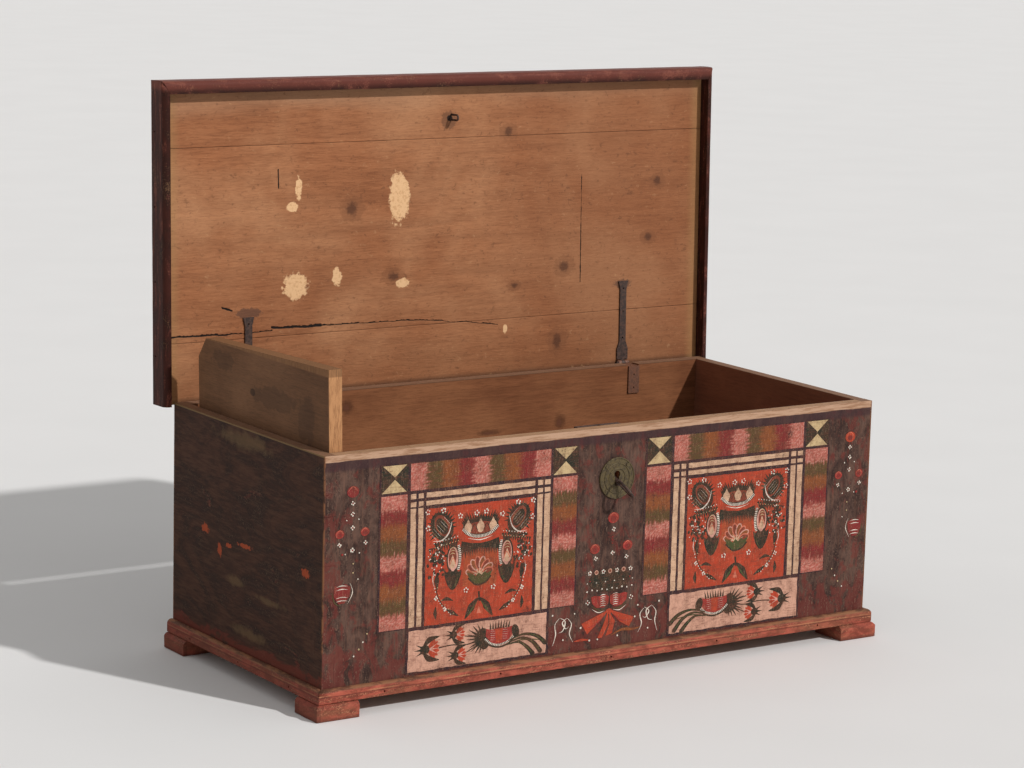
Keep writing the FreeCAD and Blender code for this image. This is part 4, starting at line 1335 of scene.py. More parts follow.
@dataclass
class Brush:
    """Collects painted shapes and dabs, in millimetres, the later shapes over the earlier.

    A brush may stand at a place of its own and paint mirrored or wider; what it paints goes
    into the same lists as what the others paint.
    """

    shapes: list[tuple[Paint, list[Point]]]
    dabs: dict[Paint, list[tuple[float, float, float]]]
    draw: random.Random
    middle: float = 0.0
    wide: float = 1.0

    def at(self, middle: float, wide: float = 1.0) -> "Brush":
        """Returns the same brush at another place.

        Args:
            middle: Where its own zero is.
            wide: How much wider it paints; a negative number mirrors.

        Returns:
            The brush.
        """
        return Brush(self.shapes, self.dabs, self.draw, middle, wide)

    def fill(self, paint: Paint, points: Iterable[Point]) -> None:
        """Fills an outline.

        Args:
            paint: The colour.
            points: Its corners.
        """
        placed = [(self.middle + u * self.wide, v) for u, v in points]
        if signed_area(placed) < 0:
            placed.reverse()
        self.shapes.append((paint, placed))

    def jitter(self, size: float) -> float:
        """Returns a small random shift."""
        return self.draw.uniform(-size, size)

    def bar(self, paint: Paint, us: Point, vs: Point, ragged: float = 0.5) -> None:
        """Fills an upright rectangle with hand-drawn edges.

        Args:
            paint: The colour.
            us: Its two sides.
            vs: Its bottom and top.
            ragged: How far the edges wander.
        """
        corners = [(us[0], vs[0]), (us[1], vs[0]), (us[1], vs[1]), (us[0], vs[1])]
        points = []
        for index, (u, v) in enumerate(corners):
            end = corners[(index + 1) % 4]
            steps = max(1, round(math.dist((u, v), end) / WOBBLE_PITCH))
            for step in range(steps):
                share = step / steps
                along = u + (end[0] - u) * share + self.jitter(ragged)
                points.append((along, v + (end[1] - v) * share + self.jitter(ragged)))
        self.fill(paint, points)

    def oval(
        self, paint: Paint, centre: Point, radii: Point, turn: float = 0.0, steps: int = 14
    ) -> None:
        """Fills an oval.

        Args:
            paint: The colour.
            centre: Its centre.
            radii: Its two radii.
            turn: How far it is turned, in degrees.
            steps: How many corners it has.
        """
        cos, sin = math.cos(math.radians(turn)), math.sin(math.radians(turn))
        points = []
        for step in range(steps):
            angle = math.tau * step / steps
            u, v = radii[0] * math.cos(angle), radii[1] * math.sin(angle)
            points.append((centre[0] + u * cos - v * sin, centre[1] + u * sin + v * cos))
        self.fill(paint, points)

    def stroke(
        self, paint: Paint, path: Sequence[Point], width: float, taper: Taper = Taper.EVEN
    ) -> None:
        """Paints one stroke along a smooth path.

        Args:
            paint: The colour.
            path: Two or more points that it passes.
            width: Its widest width.
            taper: How its width changes.
        """
        line = smooth(path)
        left, right = [], []
        for index, (u, v) in enumerate(line):
            before, after = line[max(index - 1, 0)], line[min(index + 1, len(line) - 1)]
            du, dv = after[0] - before[0], after[1] - before[1]
            length = math.hypot(du, dv) or 1.0
            share = 2 * index / (len(line) - 1)
            first, second, third = taper.value
            half = first + (second - first) * share
            if share > 1:
                half = second + (third - second) * (share - 1)
            half *= width / 2
            left.append((u - dv / length * half, v + du / length * half))
            right.append((u + dv / length * half, v - du / length * half))
        self.fill(paint, left + right[::-1])

    def blade(self, paint: Paint, path: Sequence[Point], width: float) -> None:
        """Paints one stroke that is thin at both its ends."""
        self.stroke(paint, path, width, Taper.LEAF)

    def ray(self, paint: Paint, start: Point, angle: float, length: float, width: float) -> None:
        """Paints one straight spike from a point.

        Args:
            paint: The colour.
            start: The point.
            angle: The way that it goes, in degrees.
            length: Its length.
            width: Its width at the point.
        """
        self.stroke(paint, [start, polar(start, angle, length, length)], width, Taper.SPIKE)

    def beads(self, path: Sequence[Point], width: float) -> None:
        """Paints a white rim with dark ticks across it.

        Args:
            path: The points that it passes.
            width: Its width.
        """
        self.stroke(Paint.WHITE, path, width)
        line = smooth(path)
        step = max(1, round(len(line) * TICK_PITCH / max(1.0, path_length(line))))
        for index in range(step // 2 + 1, len(line) - 1, step):
            (u0, v0), (u1, v1) = line[index - 1], line[index + 1]
            length = math.hypot(u1 - u0, v1 - v0) or 1.0
            du, dv = (v0 - v1) / length * width / 2, (u1 - u0) / length * width / 2
            u, v = line[index]
            self.stroke(Paint.LEAF, [(u - du, v - dv), (u + du, v + dv)], TICK_WIDTH)

    def dab(self, paint: Paint, u: float, v: float, radius: float) -> None:
        """Sets one raised dab of paint."""
        place = (self.middle + u * self.wide, v, radius)
        self.dabs.setdefault(paint, []).append(place)

    def star(self, u: float, v: float, petals: int = 5, reach: float = 3.8) -> None:
        """Sets a small flower of white dabs round a red one.

        Args:
            u: Its place along the front.
            v: Its height.
            petals: How many white dabs it has.
            reach: How far they are from its middle.
        """
        self.dab(Paint.ROSE, u, v, 1.3)
        for petal in range(petals):
            angle = math.tau * (petal + self.draw.uniform(-0.1, 0.3)) / petals
            du, dv = reach * math.cos(angle), reach * math.sin(angle)
            self.dab(Paint.WHITE, u + du, v + dv, self.draw.uniform(1.3, 1.8))

    def rose(self, centre: Point, radius: float, paint: Paint = Paint.ROSE) -> None:
        """Paints a small round rose with a darker heart and a lit edge.

        Args:
            centre: Its centre.
            radius: Its radius.
            paint: Its colour.
        """
        u, v = centre
        self.oval(paint, centre, (radius, radius * 0.85))
        self.oval(Paint.CRIMSON, (u, v - radius * 0.15), (radius * 0.5, radius * 0.42))
        lit = [(u - radius * 0.85, v), (u, v + radius * 0.75), (u + radius * 0.85, v)]
        self.blade(Paint.SALMON, lit, 1.4)


def polar(centre: Point, angle: float, across: float, up: float) -> Point:
    """Returns the point of an oval at an angle.

    Args:
        centre: The oval's centre.
        angle: The angle, in degrees.
        across: The oval's radius along the front.
        up: Its radius upwards.

    Returns:
        The point.
    """
    radians = math.radians(angle)
    return centre[0] + across * math.cos(radians), centre[1] + up * math.sin(radians)


def signed_area(outline: Sequence[Point]) -> float:
    """Returns an outline's area, below zero where it runs clockwise."""
    following = [*outline[1:], outline[0]]
    return sum(a[0] * b[1] - b[0] * a[1] for a, b in zip(outline, following)) / 2


def holds(outline: Sequence[Point], u: float, v: float) -> bool:
    """Tells whether a point lies inside an outline.

    Args:
        outline: The outline's corners.
        u: The point's place along the front.
        v: Its height.

    Returns:
        Whether it lies inside.
    """
    inside = False
    for (u0, v0), (u1, v1) in zip(outline, [*outline[1:], outline[0]]):
        if (v0 > v) != (v1 > v) and u < u0 + (v - v0) / (v1 - v0) * (u1 - u0):
            inside = not inside
    return inside


def path_length(line: Sequence[Point]) -> float:
    """Returns the length of a line of points."""
    return sum(math.dist(a, b) for a, b in zip(line, line[1:]))


def passed(ends: Sequence[float], t: float) -> float:
    """Returns where a smooth line is between the two middle ones of four points.

    Args:
        ends: One coordinate of the four points.
        t: The share of the way from the second to the third.

    Returns:
        The coordinate.
    """
    p, q, r, s = ends
    square, cube = 2 * p - 5 * q + 4 * r - s, 3 * q - p - 3 * r + s
    return 0.5 * (2 * q + (r - p) * t + square * t * t + cube * t * t * t)


def smooth(path: Sequence[Point], pitch: float = 3.0) -> list[Point]:
    """Returns points along a smooth line through a few.

    Args:
        path: The points that it passes.
        pitch: About how far apart the new points are.

    Returns:
        The new points.
    """
    if len(path) == 2:
        return list(path)
    knots = [path[0], *path, path[-1]]
    line = []
    for a, b, c, d in zip(knots, knots[1:], knots[2:], knots[3:]):
        steps = max(2, round(math.dist(b, c) / pitch))
        for step in range(steps):
            t = step / steps
            line.append(tuple(passed(ends, t) for ends in zip(a, b, c, d)))
    return line + [path[-1]]


@dataclass
class FrontPainting:
    """The two flower panels, the middle and the ends of the front, as one skin of paint.

    The sizes are in millimetres: the skin stands `proud` of the front, the bands and the dabs
    stand `over` the skin, and `grid` is the bands' mesh. `running` is the share of a band's
    colour over which it runs into the next.
    """

    front: float = -275.0
    proud: float = 0.35
    over: float = 0.1
    grid: float = 2.0
    merge: float = 1e-3
    running: float = 0.42
    seed: int = 11
    corners: list[tuple[float, float, float]] = field(default_factory=list)
    tones: list[Colour] = field(default_factory=list)
    faces: list[tuple[int, int, int, int]] = field(default_factory=list)

    def build(self) -> None:
        """Paints the front and sets its raised dabs."""
        brush = Brush([], {}, random.Random(self.seed))
        for middle, wide, way in ((-282.0, 1.0, 1), (286.0, 1.03, -1)):
            self.panel(brush.at(middle, wide))
            self.bunch(brush.at(middle, wide * way))
        self.middle(brush)
        self.ends(brush)
        self.skin(brush.shapes)
        self.lay_bands()
        self.lay_dabs(brush.dabs)

    def panel(self, brush: Brush) -> None:
        """Paints one panel's bands, stripes, corner squares and flowers.

        Args:
            brush: The brush, at its place.
        """
        brush.bar(Paint.LINE, (-209, 207), (139, 384), 0.8)
        brush.bar(Paint.LINE, (-208, 206), (380, 434), 0.8)
        brush.bar(Paint.LINE, (-150, 150), (56, 140), 0.8)
        self.band(brush, (-205, -152), (141, 379), BAND_UP)
        self.band(brush, (152, 204), (141, 379), BAND_DOWN)
        self.band(brush, (-146, 146), (384, 432), BAND_UP)
        uprights = [(-145, -134), (-129, -119), (119, 130), (134, 146)]
        for us in uprights:
            brush.bar(Paint.CREAM, us, (141, 352))
        for vs in ((355.5, 363.5), (369, 378)):
            for us in uprights + [(-113, 113)]:
                brush.bar(Paint.CREAM, us, vs)
        brush.bar(Paint.RED, (-113, 112), (140, 349))
        for left in (-205, 151):
            self.corner_square(brush, left)
        self.bouquet(brush)
        brush.bar(Paint.ROSY_CREAM, (-145, 145), (60, 134), 0.9)

    def band(self, brush: Brush, us: Point, vs: Point, stops: Sequence[Paint]) -> None:
        """Paints a band whose colours run into each other in fine streaks.

        Args:
            brush: The brush, at its place.
            us: The band's sides.
            vs: Its bottom and top.
            stops: Its colours, from the bottom up or from the left.
        """
        width, height = us[1] - us[0], vs[1] - vs[0]
        upright = height > width
        columns, rows = round(width / self.grid), round(height / self.grid)
        start = len(self.corners)
        depth = (self.front - self.proud - self.over) * MM
        for row in range(rows + 1):
            for column in range(columns + 1):
                u = brush.middle + brush.wide * (us[0] + width * column / columns)
                v = vs[0] + height * row / rows
                self.corners.append((u * MM, depth, v * MM))
                share = row / rows if upright else column / columns
                across, along = (u, v) if upright else (v, u)
                self.tones.append(self.tone(share * len(stops), across, along, stops))
        for row in range(rows):
            for column in range(columns):
                first = start + row * (columns + 1) + column
                self.faces.append((first, first + 1, first + columns + 2, first + columns + 1))

    def tone(self, place: float, across: float, along: float, stops: Sequence[Paint]) -> Colour:
        """Returns a band's colour at one point.

        Args:
            place: How many colours lie before the point.
            across: The place across the band, in millimetres.
            along: The place along it, in millimetres.
            stops: The band's colours.

        Returns:
            The colour.
        """
        streak = noise.noise(Vector((across / 2.1, along / 40, 3.0)))
        place = place - 0.5 + self.running * streak
        index = min(max(math.floor(place), 0), len(stops) - 2)
        share = min(max((place - index - 0.5) / self.running + 0.5, 0.0), 1.0)
        first, second = stops[index], stops[index + 1]
        colour = between(share * share * (3 - 2 * share), first.value, second.value)
        near = first if share < 0.5 else second
        wave = noise.noise(Vector((across / 3.0, along / 2.2, 9.0)))
        if near is Paint.PINK:
            return between(min(max(wave * 1.6 + 0.15, 0.0), 0.75), colour, Paint.BLUSH.value)
        return between(min(max(wave * 0.9, 0.0), 0.4), colour, Paint.LINE.value)

    def lay_bands(self) -> None:
        """Makes one piece of all the bands."""
        mesh = bpy.data.meshes.new("front_bands")
        mesh.from_pydata(self.corners, [], self.faces)
        layer = mesh.color_attributes.new("paint", "FLOAT_COLOR", "POINT")
        for index, tone in enumerate(self.tones):
            layer.data[index].color = tone
        piece = add(mesh, "front_bands")
        settle(piece, "carcass", PaintingFinish("folk_bands").material())
        log.info("front_bands: %d faces", len(self.faces))

    def corner_square(self, brush: Brush, left: float) -> None:
        """Paints a square of two straw and two dark triangles that meet in its middle.

        Args:
            brush: The brush, at its place.
            left: The square's left side.
        """
        right, middle = left + 54, left + 27
        brush.bar(Paint.LEAF, (left, right), (384, 433))
        brush.fill(Paint.STRAW, [(left + 3, 432), (right - 3, 432), (middle, 411)])
        brush.fill(Paint.STRAW, [(left + 1, 384), (middle, 407), (right - 3, 384)])

    def bouquet(self, brush: Brush) -> None:
        """Paints the flowers of a red field.

        Args:
            brush: The brush, at its place.
        """
        brush.bar(Paint.BROWN, (-35, 35), (200, 264), 1.5)
        self.great_cup(brush)
        self.shell(brush)
        for side in (-1, 1):
            half = brush.at(brush.middle, brush.wide * side)
            self.side_cup(half)
            self.hanging_tulip(half)
            self.spray(half)
        brush.stroke(Paint.LEAF, [(-1, 190), (1, 172)], 4)
        for side in (-1, 1):
            brush.blade(Paint.LEAF, [(side, 178), (side * 12, 168), (side * 29, 143)], 15)
            vein = [(side * 4, 172), (side * 14, 160), (side * 24, 146)]
            brush.blade(Paint.MOSS, vein, 4)
        brush.fill(Paint.SALMON, [(0, 164), (-5, 150), (5, 150)])
        for u, v in ((-28, 195), (29, 195)):
            brush.star(u, v)

    def great_cup(self, brush: Brush) -> None:
        """Paints the large cup bloom at the top, and the dark fringe under it.

        Args:
            brush: The brush, at its place.
        """
        brush.oval(Paint.LEAF, (0, 306), (38, 19), 0, 24)
        for index in range(19):
            angle = 168 - index * 8.7
            start = polar((0, 308), angle, 34, 12)
            length = 21 - 9 * abs(math.cos(math.radians(angle * 2)))
            brush.ray(Paint.LEAF, start, 90 + (angle - 90) * 0.5, length, 5)
        for u in (-26, 0, 26):
            for step in range(7):
                angle = 60 + step * 10 - u * 0.5
                brush.ray(Paint.LEAF, (u + step - 3, 309), angle, 26 - 2 * abs(step - 3), 5)
        brush.oval(Paint.UMBER, (0, 305), (31, 11), 0, 20)
        for u in (-26, 0, 26):
            brush.oval(Paint.CREAM, (u, 306), (8, 10))
            brush.fill(Paint.CREAM, [(u - 5, 312), (u + 5, 312), (u, 322)])
        for u in (-13, 13):
            brush.stroke(Paint.LEAF, [(u - 7, 300), (u, 312), (u + 7, 300)], 1.5)
        rim = [(-37, 305), (-20, 293), (0, 289.5), (20, 293), (37, 305)]
        brush.beads(rim, 5.5)
        brush.blade(Paint.WHITE, [(-26, 288), (0, 283), (26, 288)], 1.8)
        for u, v in ((-43, 330), (-9, 332), (11, 333), (45, 325)):
            brush.star(u, v)
        brush.fill(
            Paint.LEAF,
            [(-39, 284), (-20, 279), (0, 277), (20, 279), (39, 284), (43, 262), (24, 268),
             (0, 271), (-24, 268), (-43, 262)],
        )
        for index in range(24):
            u = -41 + index * 3.6
            brush.ray(Paint.LEAF, (u, 272 - abs(u) * 0.1), -90, 15 + brush.jitter(3), 4.4)

    def shell(self, brush: Brush) -> None:
        """Paints the pale shell bloom in the middle, in its green cup.

        Args:
            brush: The brush, at its place.
        """
        petals = [(172, 26), (148, 27), (124, 28), (100, 29), (76, 28), (52, 27), (28, 27), (6, 25)]
        for index, (angle, reach) in enumerate(petals):
            centre = polar((0, 224), angle, reach * 0.713, reach * 0.62)
            paint = Paint.SALMON if index % 2 else Paint.BLUSH
            brush.oval(paint, centre, (reach * 0.45, 7), angle)
            inside = Paint.UMBER if index % 2 else Paint.OCHRE
            brush.oval(inside, centre, (reach * 0.36, 4.6), angle)
        for angle in (150, 120, 60, 30):
            brush.ray(Paint.CREAM, (0, 218), angle, 18, 5)
        brush.fill(Paint.CREAM, [(-7, 212), (0, 232), (7, 212)])
        brush.blade(Paint.LEAF, [(-2, 220), (-3, 236)], 3)
        brush.fill(
            Paint.MOSS,
            [(-27, 226), (-20, 212), (-8, 204), (0, 202), (8, 204), (20, 212), (27, 226), (16, 221),
             (10, 225), (4, 219), (-2, 224), (-8, 218), (-15, 223)],
        )
        brush.stroke(Paint.LEAF, [(-24, 216), (-10, 204), (0, 202), (14, 206), (24, 216)], 3)

    def side_cup(self, brush: Brush) -> None:
        """Paints one tilted bloom in the upper corner of the field.

        Args:
            brush: The brush, at its place.
        """
        centre = (80, 314)
        brush.oval(Paint.LEAF, centre, (21, 29), -35, 20)
        for index in range(17):
            angle = -40 + index * 14
            start = polar(centre, angle, 18, 21)
            brush.ray(Paint.LEAF, start, angle, 12 + brush.jitter(2), 6)
        brush.oval(Paint.UMBER, (79, 316), (14, 22), -35)
        brush.oval(Paint.LEAF, (80, 315), (10, 17), -35)
        for index in range(9):
            u, v = 64 + index * 3.4, 330 - index * 3.4
            paint = Paint.WHITE if index % 2 == 0 else Paint.STRAW
            brush.blade(paint, [(u - 1, v - 12), (u + 13, v + 2)], 2.6)
        for index in range(3):
            u, v = 66 + index * 7, 304 + index * 7
            brush.blade(Paint.LEAF, [(u, v), (u + 14, v + 6)], 1.4)
        brush.blade(Paint.WHITE, [(60, 322), (66, 302), (80, 290), (98, 290)], 2.6)
        brush.blade(Paint.LEAF, [(52, 298), (70, 284), (96, 284)], 7)
        for index in range(9):
            u = 46 + index * 6
            brush.ray(Paint.LEAF, (u, 290 - index * 0.4), -60 - index * 6, 12 + brush.jitter(3), 5)
            brush.dab(Paint.WHITE, u + 2, 294 - index, 1.1)
            brush.dab(Paint.STRAW, u, 286 - index, 0.9)
        for index in range(12):
            u = 50 + index * 5.0
            brush.ray(Paint.LEAF, (u, 284 - index * 0.6), -100, 9 + brush.jitter(4), 5)
        for u, v in ((110, 343), (78, 343), (109, 314)):
            brush.star(u, v)

    def hanging_tulip(self, brush: Brush) -> None:
        """Paints one hanging tulip with a beaded edge and a dark cap.

        Args:
            brush: The brush, at its place.
        """
        brush.oval(Paint.LEAF, (56, 254), (14, 26), 0, 18)
        brush.oval(Paint.BLUSH, (56, 254), (11, 22), 0, 18)
        brush.oval(Paint.UMBER, (57, 256), (8, 18))
        brush.oval(Paint.CREAM, (57, 246), (6, 9))
        brush.fill(Paint.CREAM, [(52, 250), (62, 250), (57, 262)])
        for v in (262, 267, 272):
            brush.blade(Paint.STRAW, [(51, v), (57, v + 3), (63, v)], 1.6)
        brush.stroke(Paint.SALMON, [(50, 244), (56, 256), (63, 244)], 1.6)
        brush.beads([(45, 278), (42, 262), (42, 246), (45, 234)], 5)
        cap = [(38, 234), (39, 224), (44, 210), (51, 200), (56, 198), (61, 200), (68, 210)]
        cap += [(73, 224), (74, 236), (68, 231), (62, 238), (56, 230), (50, 237), (44, 230)]
        brush.fill(Paint.LEAF, cap)
        brush.blade(Paint.LEAF, [(47, 283), (57, 279), (69, 284)], 6)
        brush.blade(Paint.MOSS, [(44, 226), (50, 208), (56, 202)], 1.8)

    def spray(self, brush: Brush) -> None:
        """Paints the berries, dots and leaves down one side of the field.

        Args:
            brush: The brush, at its place.
        """
        for _ in range(44):
            u, v = brush.draw.gauss(88, 10), brush.draw.gauss(254, 15)
            u, v = min(max(u, 71), 108), min(max(v, 226), 283)
            brush.oval(Paint.LEAF, (u, v), (3.6, 2.8), brush.draw.uniform(0, 180), 8)
        for _ in range(42):
            u, v = brush.draw.gauss(90, 10), brush.draw.gauss(252, 16)
            u, v = min(max(u, 72), 109), min(max(v, 224), 282)
            paint = Paint.WHITE if brush.draw.random() < 0.6 else Paint.ROSE
            brush.dab(paint, u, v, brush.draw.uniform(0.9, 1.5))
        brush.blade(Paint.LEAF, [(88, 232), (89, 218), (87, 202)], 11)
        brush.blade(Paint.WHITE, [(95, 236), (97, 220), (93, 206)], 1.5)
        stem = [(90, 204), (86, 190), (78, 176), (66, 163), (56, 154)]
        brush.stroke(Paint.LEAF, stem, 2)
        for index, (u, v) in enumerate(smooth(stem, 6)):
            brush.dab(Paint.WHITE, u + 3, v + 1, 1.1)
            brush.dab(Paint.ROSE if index % 2 else Paint.STRAW, u - 3, v + 2, 1.0)
        brush.blade(Paint.LEAF, [(80, 181), (68, 184), (54, 179)], 7)
        brush.blade(Paint.LEAF, [(66, 165), (56, 158), (42, 150)], 8)
        brush.blade(Paint.LEAF, [(90, 172), (91, 160), (89, 149)], 8)
        brush.star(90, 187, 4, 2.6)
        brush.star(72, 166, 4, 2.6)

    def bunch(self, brush: Brush) -> None:
        """Paints the flowers that lie along the cream panel under a red field.

        Args:
            brush: The brush, at its place.
        """
        brush.stroke(Paint.LEAF, [(-82, 97), (-55, 99), (-24, 96), (8, 102)], 2.2)
        brush.stroke(Paint.LEAF, [(-28, 112), (-8, 108), (10, 104)], 2)
        brush.stroke(Paint.LEAF, [(-24, 82), (-6, 90), (10, 98)], 2)
        for u, v, size in ((-98, 97, 1.25), (-42, 117, 1.0), (-38, 79, 1.0)):
            self.carnation(brush, u, v, size)
        brush.oval(Paint.LEAF, (12, 102), (13, 20), 10, 18)
        for angle, length in ((100, 26), (116, 32), (132, 36), (148, 38), (162, 36), (176, 36),
                              (190, 34), (204, 34), (218, 34), (234, 32), (250, 28), (268, 24)):
            brush.ray(Paint.LEAF, (12, 102), angle, length, 9)
        bowl = [(17, 119), (30, 116), (44, 120), (58, 116), (72, 119), (75, 106), (64, 93)]
        bowl += [(44, 88), (27, 93), (16, 106)]
        brush.fill(Paint.ROSE, bowl)
        brush.fill(Paint.RED, [(36, 117), (52, 117), (50, 92), (38, 92)])
        for u in (31, 57):
            for v in (97, 101, 105, 109, 113):
                brush.blade(Paint.WHITE, [(u - 5, v + 1), (u + 5, v)], 2.2)
        brush.stroke(Paint.LEAF, [(12, 100), (24, 89), (44, 83), (64, 87), (78, 98)], 3.5)
        rim = [(15, 101), (28, 91), (44, 87), (62, 91), (75, 99)]
        brush.beads(rim, 3.6)
        for index in range(8):
            start = (26 + index * 5.4, 117)
            brush.ray(Paint.LEAF, start, 96 - index * 3, 15 + brush.jitter(2), 4.4)
        brush.oval(Paint.LEAF, (79, 108), (8, 13), 14)
        brush.blade(Paint.MOSS, [(60, 84), (90, 90), (118, 88), (146, 82)], 3)
        for tail in (
            [(64, 92), (96, 100), (124, 94), (143, 79)],
            [(64, 88), (92, 94), (116, 84), (133, 65)],
            [(62, 85), (86, 87), (104, 76), (117, 62)],
        ):
            brush.stroke(Paint.LEAF, tail, 9.5, Taper.CLUB)
            brush.stroke(Paint.MOSS, tail, 2.2, Taper.CLUB)
            brush.oval(Paint.LEAF, tail[-1], (4.8, 4.4))

    def carnation(self, brush: Brush, u: float, v: float, size: float) -> None:
        """Paints one side-on carnation in its dark calyx.

        Args:
            brush: The brush, at its place.
            u: Its place along the panel.
            v: Its height.
            size: How large it is.
        """
        fan = [(u - 8 * size, v)]
        for index in range(13):
            reach = (19 if index % 2 else 15) * size
            fan.append(polar((u - 4 * size, v), -66 + index * 11, reach, reach))
        brush.fill(Paint.RED, fan)
        for angle in (-30, 0, 30):
            brush.ray(Paint.BLUSH, (u - 2 * size, v), angle, 15 * size, 3)
        brush.oval(Paint.LEAF, (u - 10 * size, v), (8 * size, 7 * size))
        for way in (-1, 1):
            leaf = [(u - 14 * size, v), (u - 4 * size, v + way * 13 * size)]
            leaf.append((u + 14 * size, v + way * 17 * size))
            brush.blade(Paint.LEAF, leaf, 9 * size)
            brush.ray(Paint.LEAF, (u - 12 * size, v + way * 3), 180 - way * 25, 14 * size, 5)
        brush.ray(Paint.LEAF, (u - 12 * size, v), 180, 16 * size, 6)

    def middle(self, brush: Brush) -> None:
        """Paints the sprigs under the escutcheon, the crown, the tulips and the bow.

        Args:
            brush: The brush, at its place.
        """
        brush.rose((4, 293), 12)
        for u, v in ((5, 272), (4, 228), (-33, 221), (35, 218)):
            brush.star(u, v, 4, 2.8)
        for v in (258, 252, 246):
            brush.dab(Paint.ROSE, 3, v, 1.2)
        brush.rose((-35, 239), 11)
        brush.rose((37, 239), 11)
        brush.oval(Paint.LEAF, (0, 178), (46, 22), 0, 20)
        for u in range(-45, 46, 15):
            if u % 30 == 0:
                brush.oval(Paint.ROSY_CREAM, (u, 195), (4.6, 4.6), 0, 10)
                brush.oval(Paint.UMBER, (u, 195), (2.6, 2.6), 0, 8)
            else:
                brush.star(u, 195, 5, 3.0)
        for u in range(-50, 51, 20):
            brush.dab(Paint.WHITE, u, 176, 1.2)
        for u in range(-50, 51, 11):
            brush.dab(Paint.WHITE, u, 161 + 2 * (u % 2), 1.6)
        for side in (-1, 1):
            brush.star(side * 48, 141, 4, 3.4)
            brush.dab(Paint.ROSE, side * 44, 180, 1.6)
        self.tulip_pair(brush)
        self.bow(brush)
        self.flourish(brush.at(-100), 1)
        self.flourish(brush.at(88), -1)

    def tulip_pair(self, brush: Brush) -> None:
        """Paints the two red tulips side by side over the bow.

        Args:
            brush: The brush, at its place.
        """
        for side in (-1, 1):
            half = brush.at(0, side)
            half.fill(
                Paint.ROSE,
                [(1, 148), (10, 153), (22, 150), (34, 152), (40, 150), (38, 138), (28, 129),
                 (12, 128), (2, 134)],
            )
            half.blade(Paint.CRIMSON, [(26, 151), (24, 140), (20, 130)], 5)
            for v in (131, 135, 139, 143, 147, 151):
                half.blade(Paint.WHITE, [(8, v), (14, v + 1.5), (20, v)], 1.8)
            half.blade(Paint.WHITE, [(10, 122), (24, 120), (38, 128)], 1.8)
            half.blade(Paint.MOSS, [(6, 125), (22, 124), (40, 134)], 2)

    def bow(self, brush: Brush) -> None:
        """Paints the ribbon bow under the tulips.

        Args:
            brush: The brush, at its place.
        """
        brush.fill(Paint.RED, [(-3, 122), (-60, 103), (-47, 82), (-26, 99), (-6, 117)])
        brush.fill(Paint.RED, [(3, 122), (56, 103), (46, 86), (24, 98), (6, 117)])
        brush.fill(Paint.RED, [(-2, 120), (-12, 95), (-24, 72), (-14, 72), (0, 96)])
        brush.fill(Paint.RED, [(0, 120), (2, 96), (-6, 74), (8, 78), (14, 100)])
        brush.oval(Paint.RED, (0, 120), (7, 5))
        brush.blade(Paint.ROSE, [(-6, 116), (-30, 98), (-50, 94)], 3)
        brush.blade(Paint.ROSE, [(6, 116), (28, 100), (50, 98)], 3)
        brush.blade(Paint.RED, [(-76, 72), (-58, 73), (-40, 71)], 5)
        brush.blade(Paint.OCHRE, [(6, 74), (30, 82), (54, 80), (74, 83)], 6)
        for u, v in ((-62, 96), (58, 103), (-42, 70), (-24, 70), (20, 72)):
            brush.dab(Paint.WHITE, u, v, 2.0)

    def flourish(self, brush: Brush, way: int) -> None:
        """Paints a pair of loose white curls beside the bow.

        Args:
            brush: The brush, at its place.
            way: 1, or -1 to mirror them.
        """
        curl = brush.at(brush.middle, way)
        paths = [
            [(-22, 70), (-16, 90), (-18, 108), (-8, 120)],
            [(-8, 120), (4, 112), (0, 96), (-10, 92)],
            [(22, 72), (14, 88), (18, 106), (8, 118)],
            [(8, 118), (-2, 110), (6, 98), (12, 102)],
        ]
        for path in paths:
            curl.blade(Paint.WHITE, path, 2.6)
        for u, v in ((-24, 126), (0, 78), (24, 124)):
            curl.dab(Paint.WHITE, u, v, 1.8)

    def ends(self, brush: Brush) -> None:
        """Paints the sprigs at the two ends of the front.

        Args:
            brush: The brush, at its place.
        """
        for middle, way in ((-543, 1), (550, -1)):
            end = brush.at(middle, way)
            end.rose((0, 394), 12, Paint.CRIMSON if way > 0 else Paint.RED)
            for v in (374, 355, 331):
                end.star(0, v, 4, 2.8)
            for side in (-1, 1):
                end.rose((side * 25, 322), 9)
                end.star(side * 26, 303, 4, 2.6)
                end.dab(Paint.WHITE, side * 12, 345, 1.3)
                end.dab(Paint.WHITE, side * 14, 286, 1.3)
            end.star(0, 292, 5, 3.0)
            end.dab(Paint.ROSE, -20, 286, 2.4)
            end.dab(Paint.STRAW, 2, 268, 1.4)
            end.dab(Paint.STRAW, 2, 252, 1.4)
            end.dab(Paint.WHITE, 12, 240, 1.3)
            self.end_tulip(end)
            for index, (u, v) in enumerate(((32, 141), (24, 127), (16, 115), (6, 104))):
                end.dab(Paint.WHITE if index % 2 else Paint.STRAW, u, v, 1.8)

    def end_tulip(self, brush: Brush) -> None:
        """Paints the crimson tulip of one end.

        Args:
            brush: The brush, at its place.
        """
        brush.fill(
            Paint.CRIMSON,
            [(-34, 234), (-24, 228), (-12, 234), (-2, 228), (-4, 212), (-14, 200), (-26, 200),
             (-35, 214)],
        )
        for v in (204, 210, 224, 230):
            brush.blade(Paint.WHITE, [(-30, v), (-20, v + 1.5), (-8, v)], 1.8)
        brush.blade(Paint.MOSS, [(-38, 222), (-34, 204), (-20, 194)], 2.2)
        brush.blade(Paint.WHITE, [(-4, 236), (2, 218), (-8, 198)], 1.6)

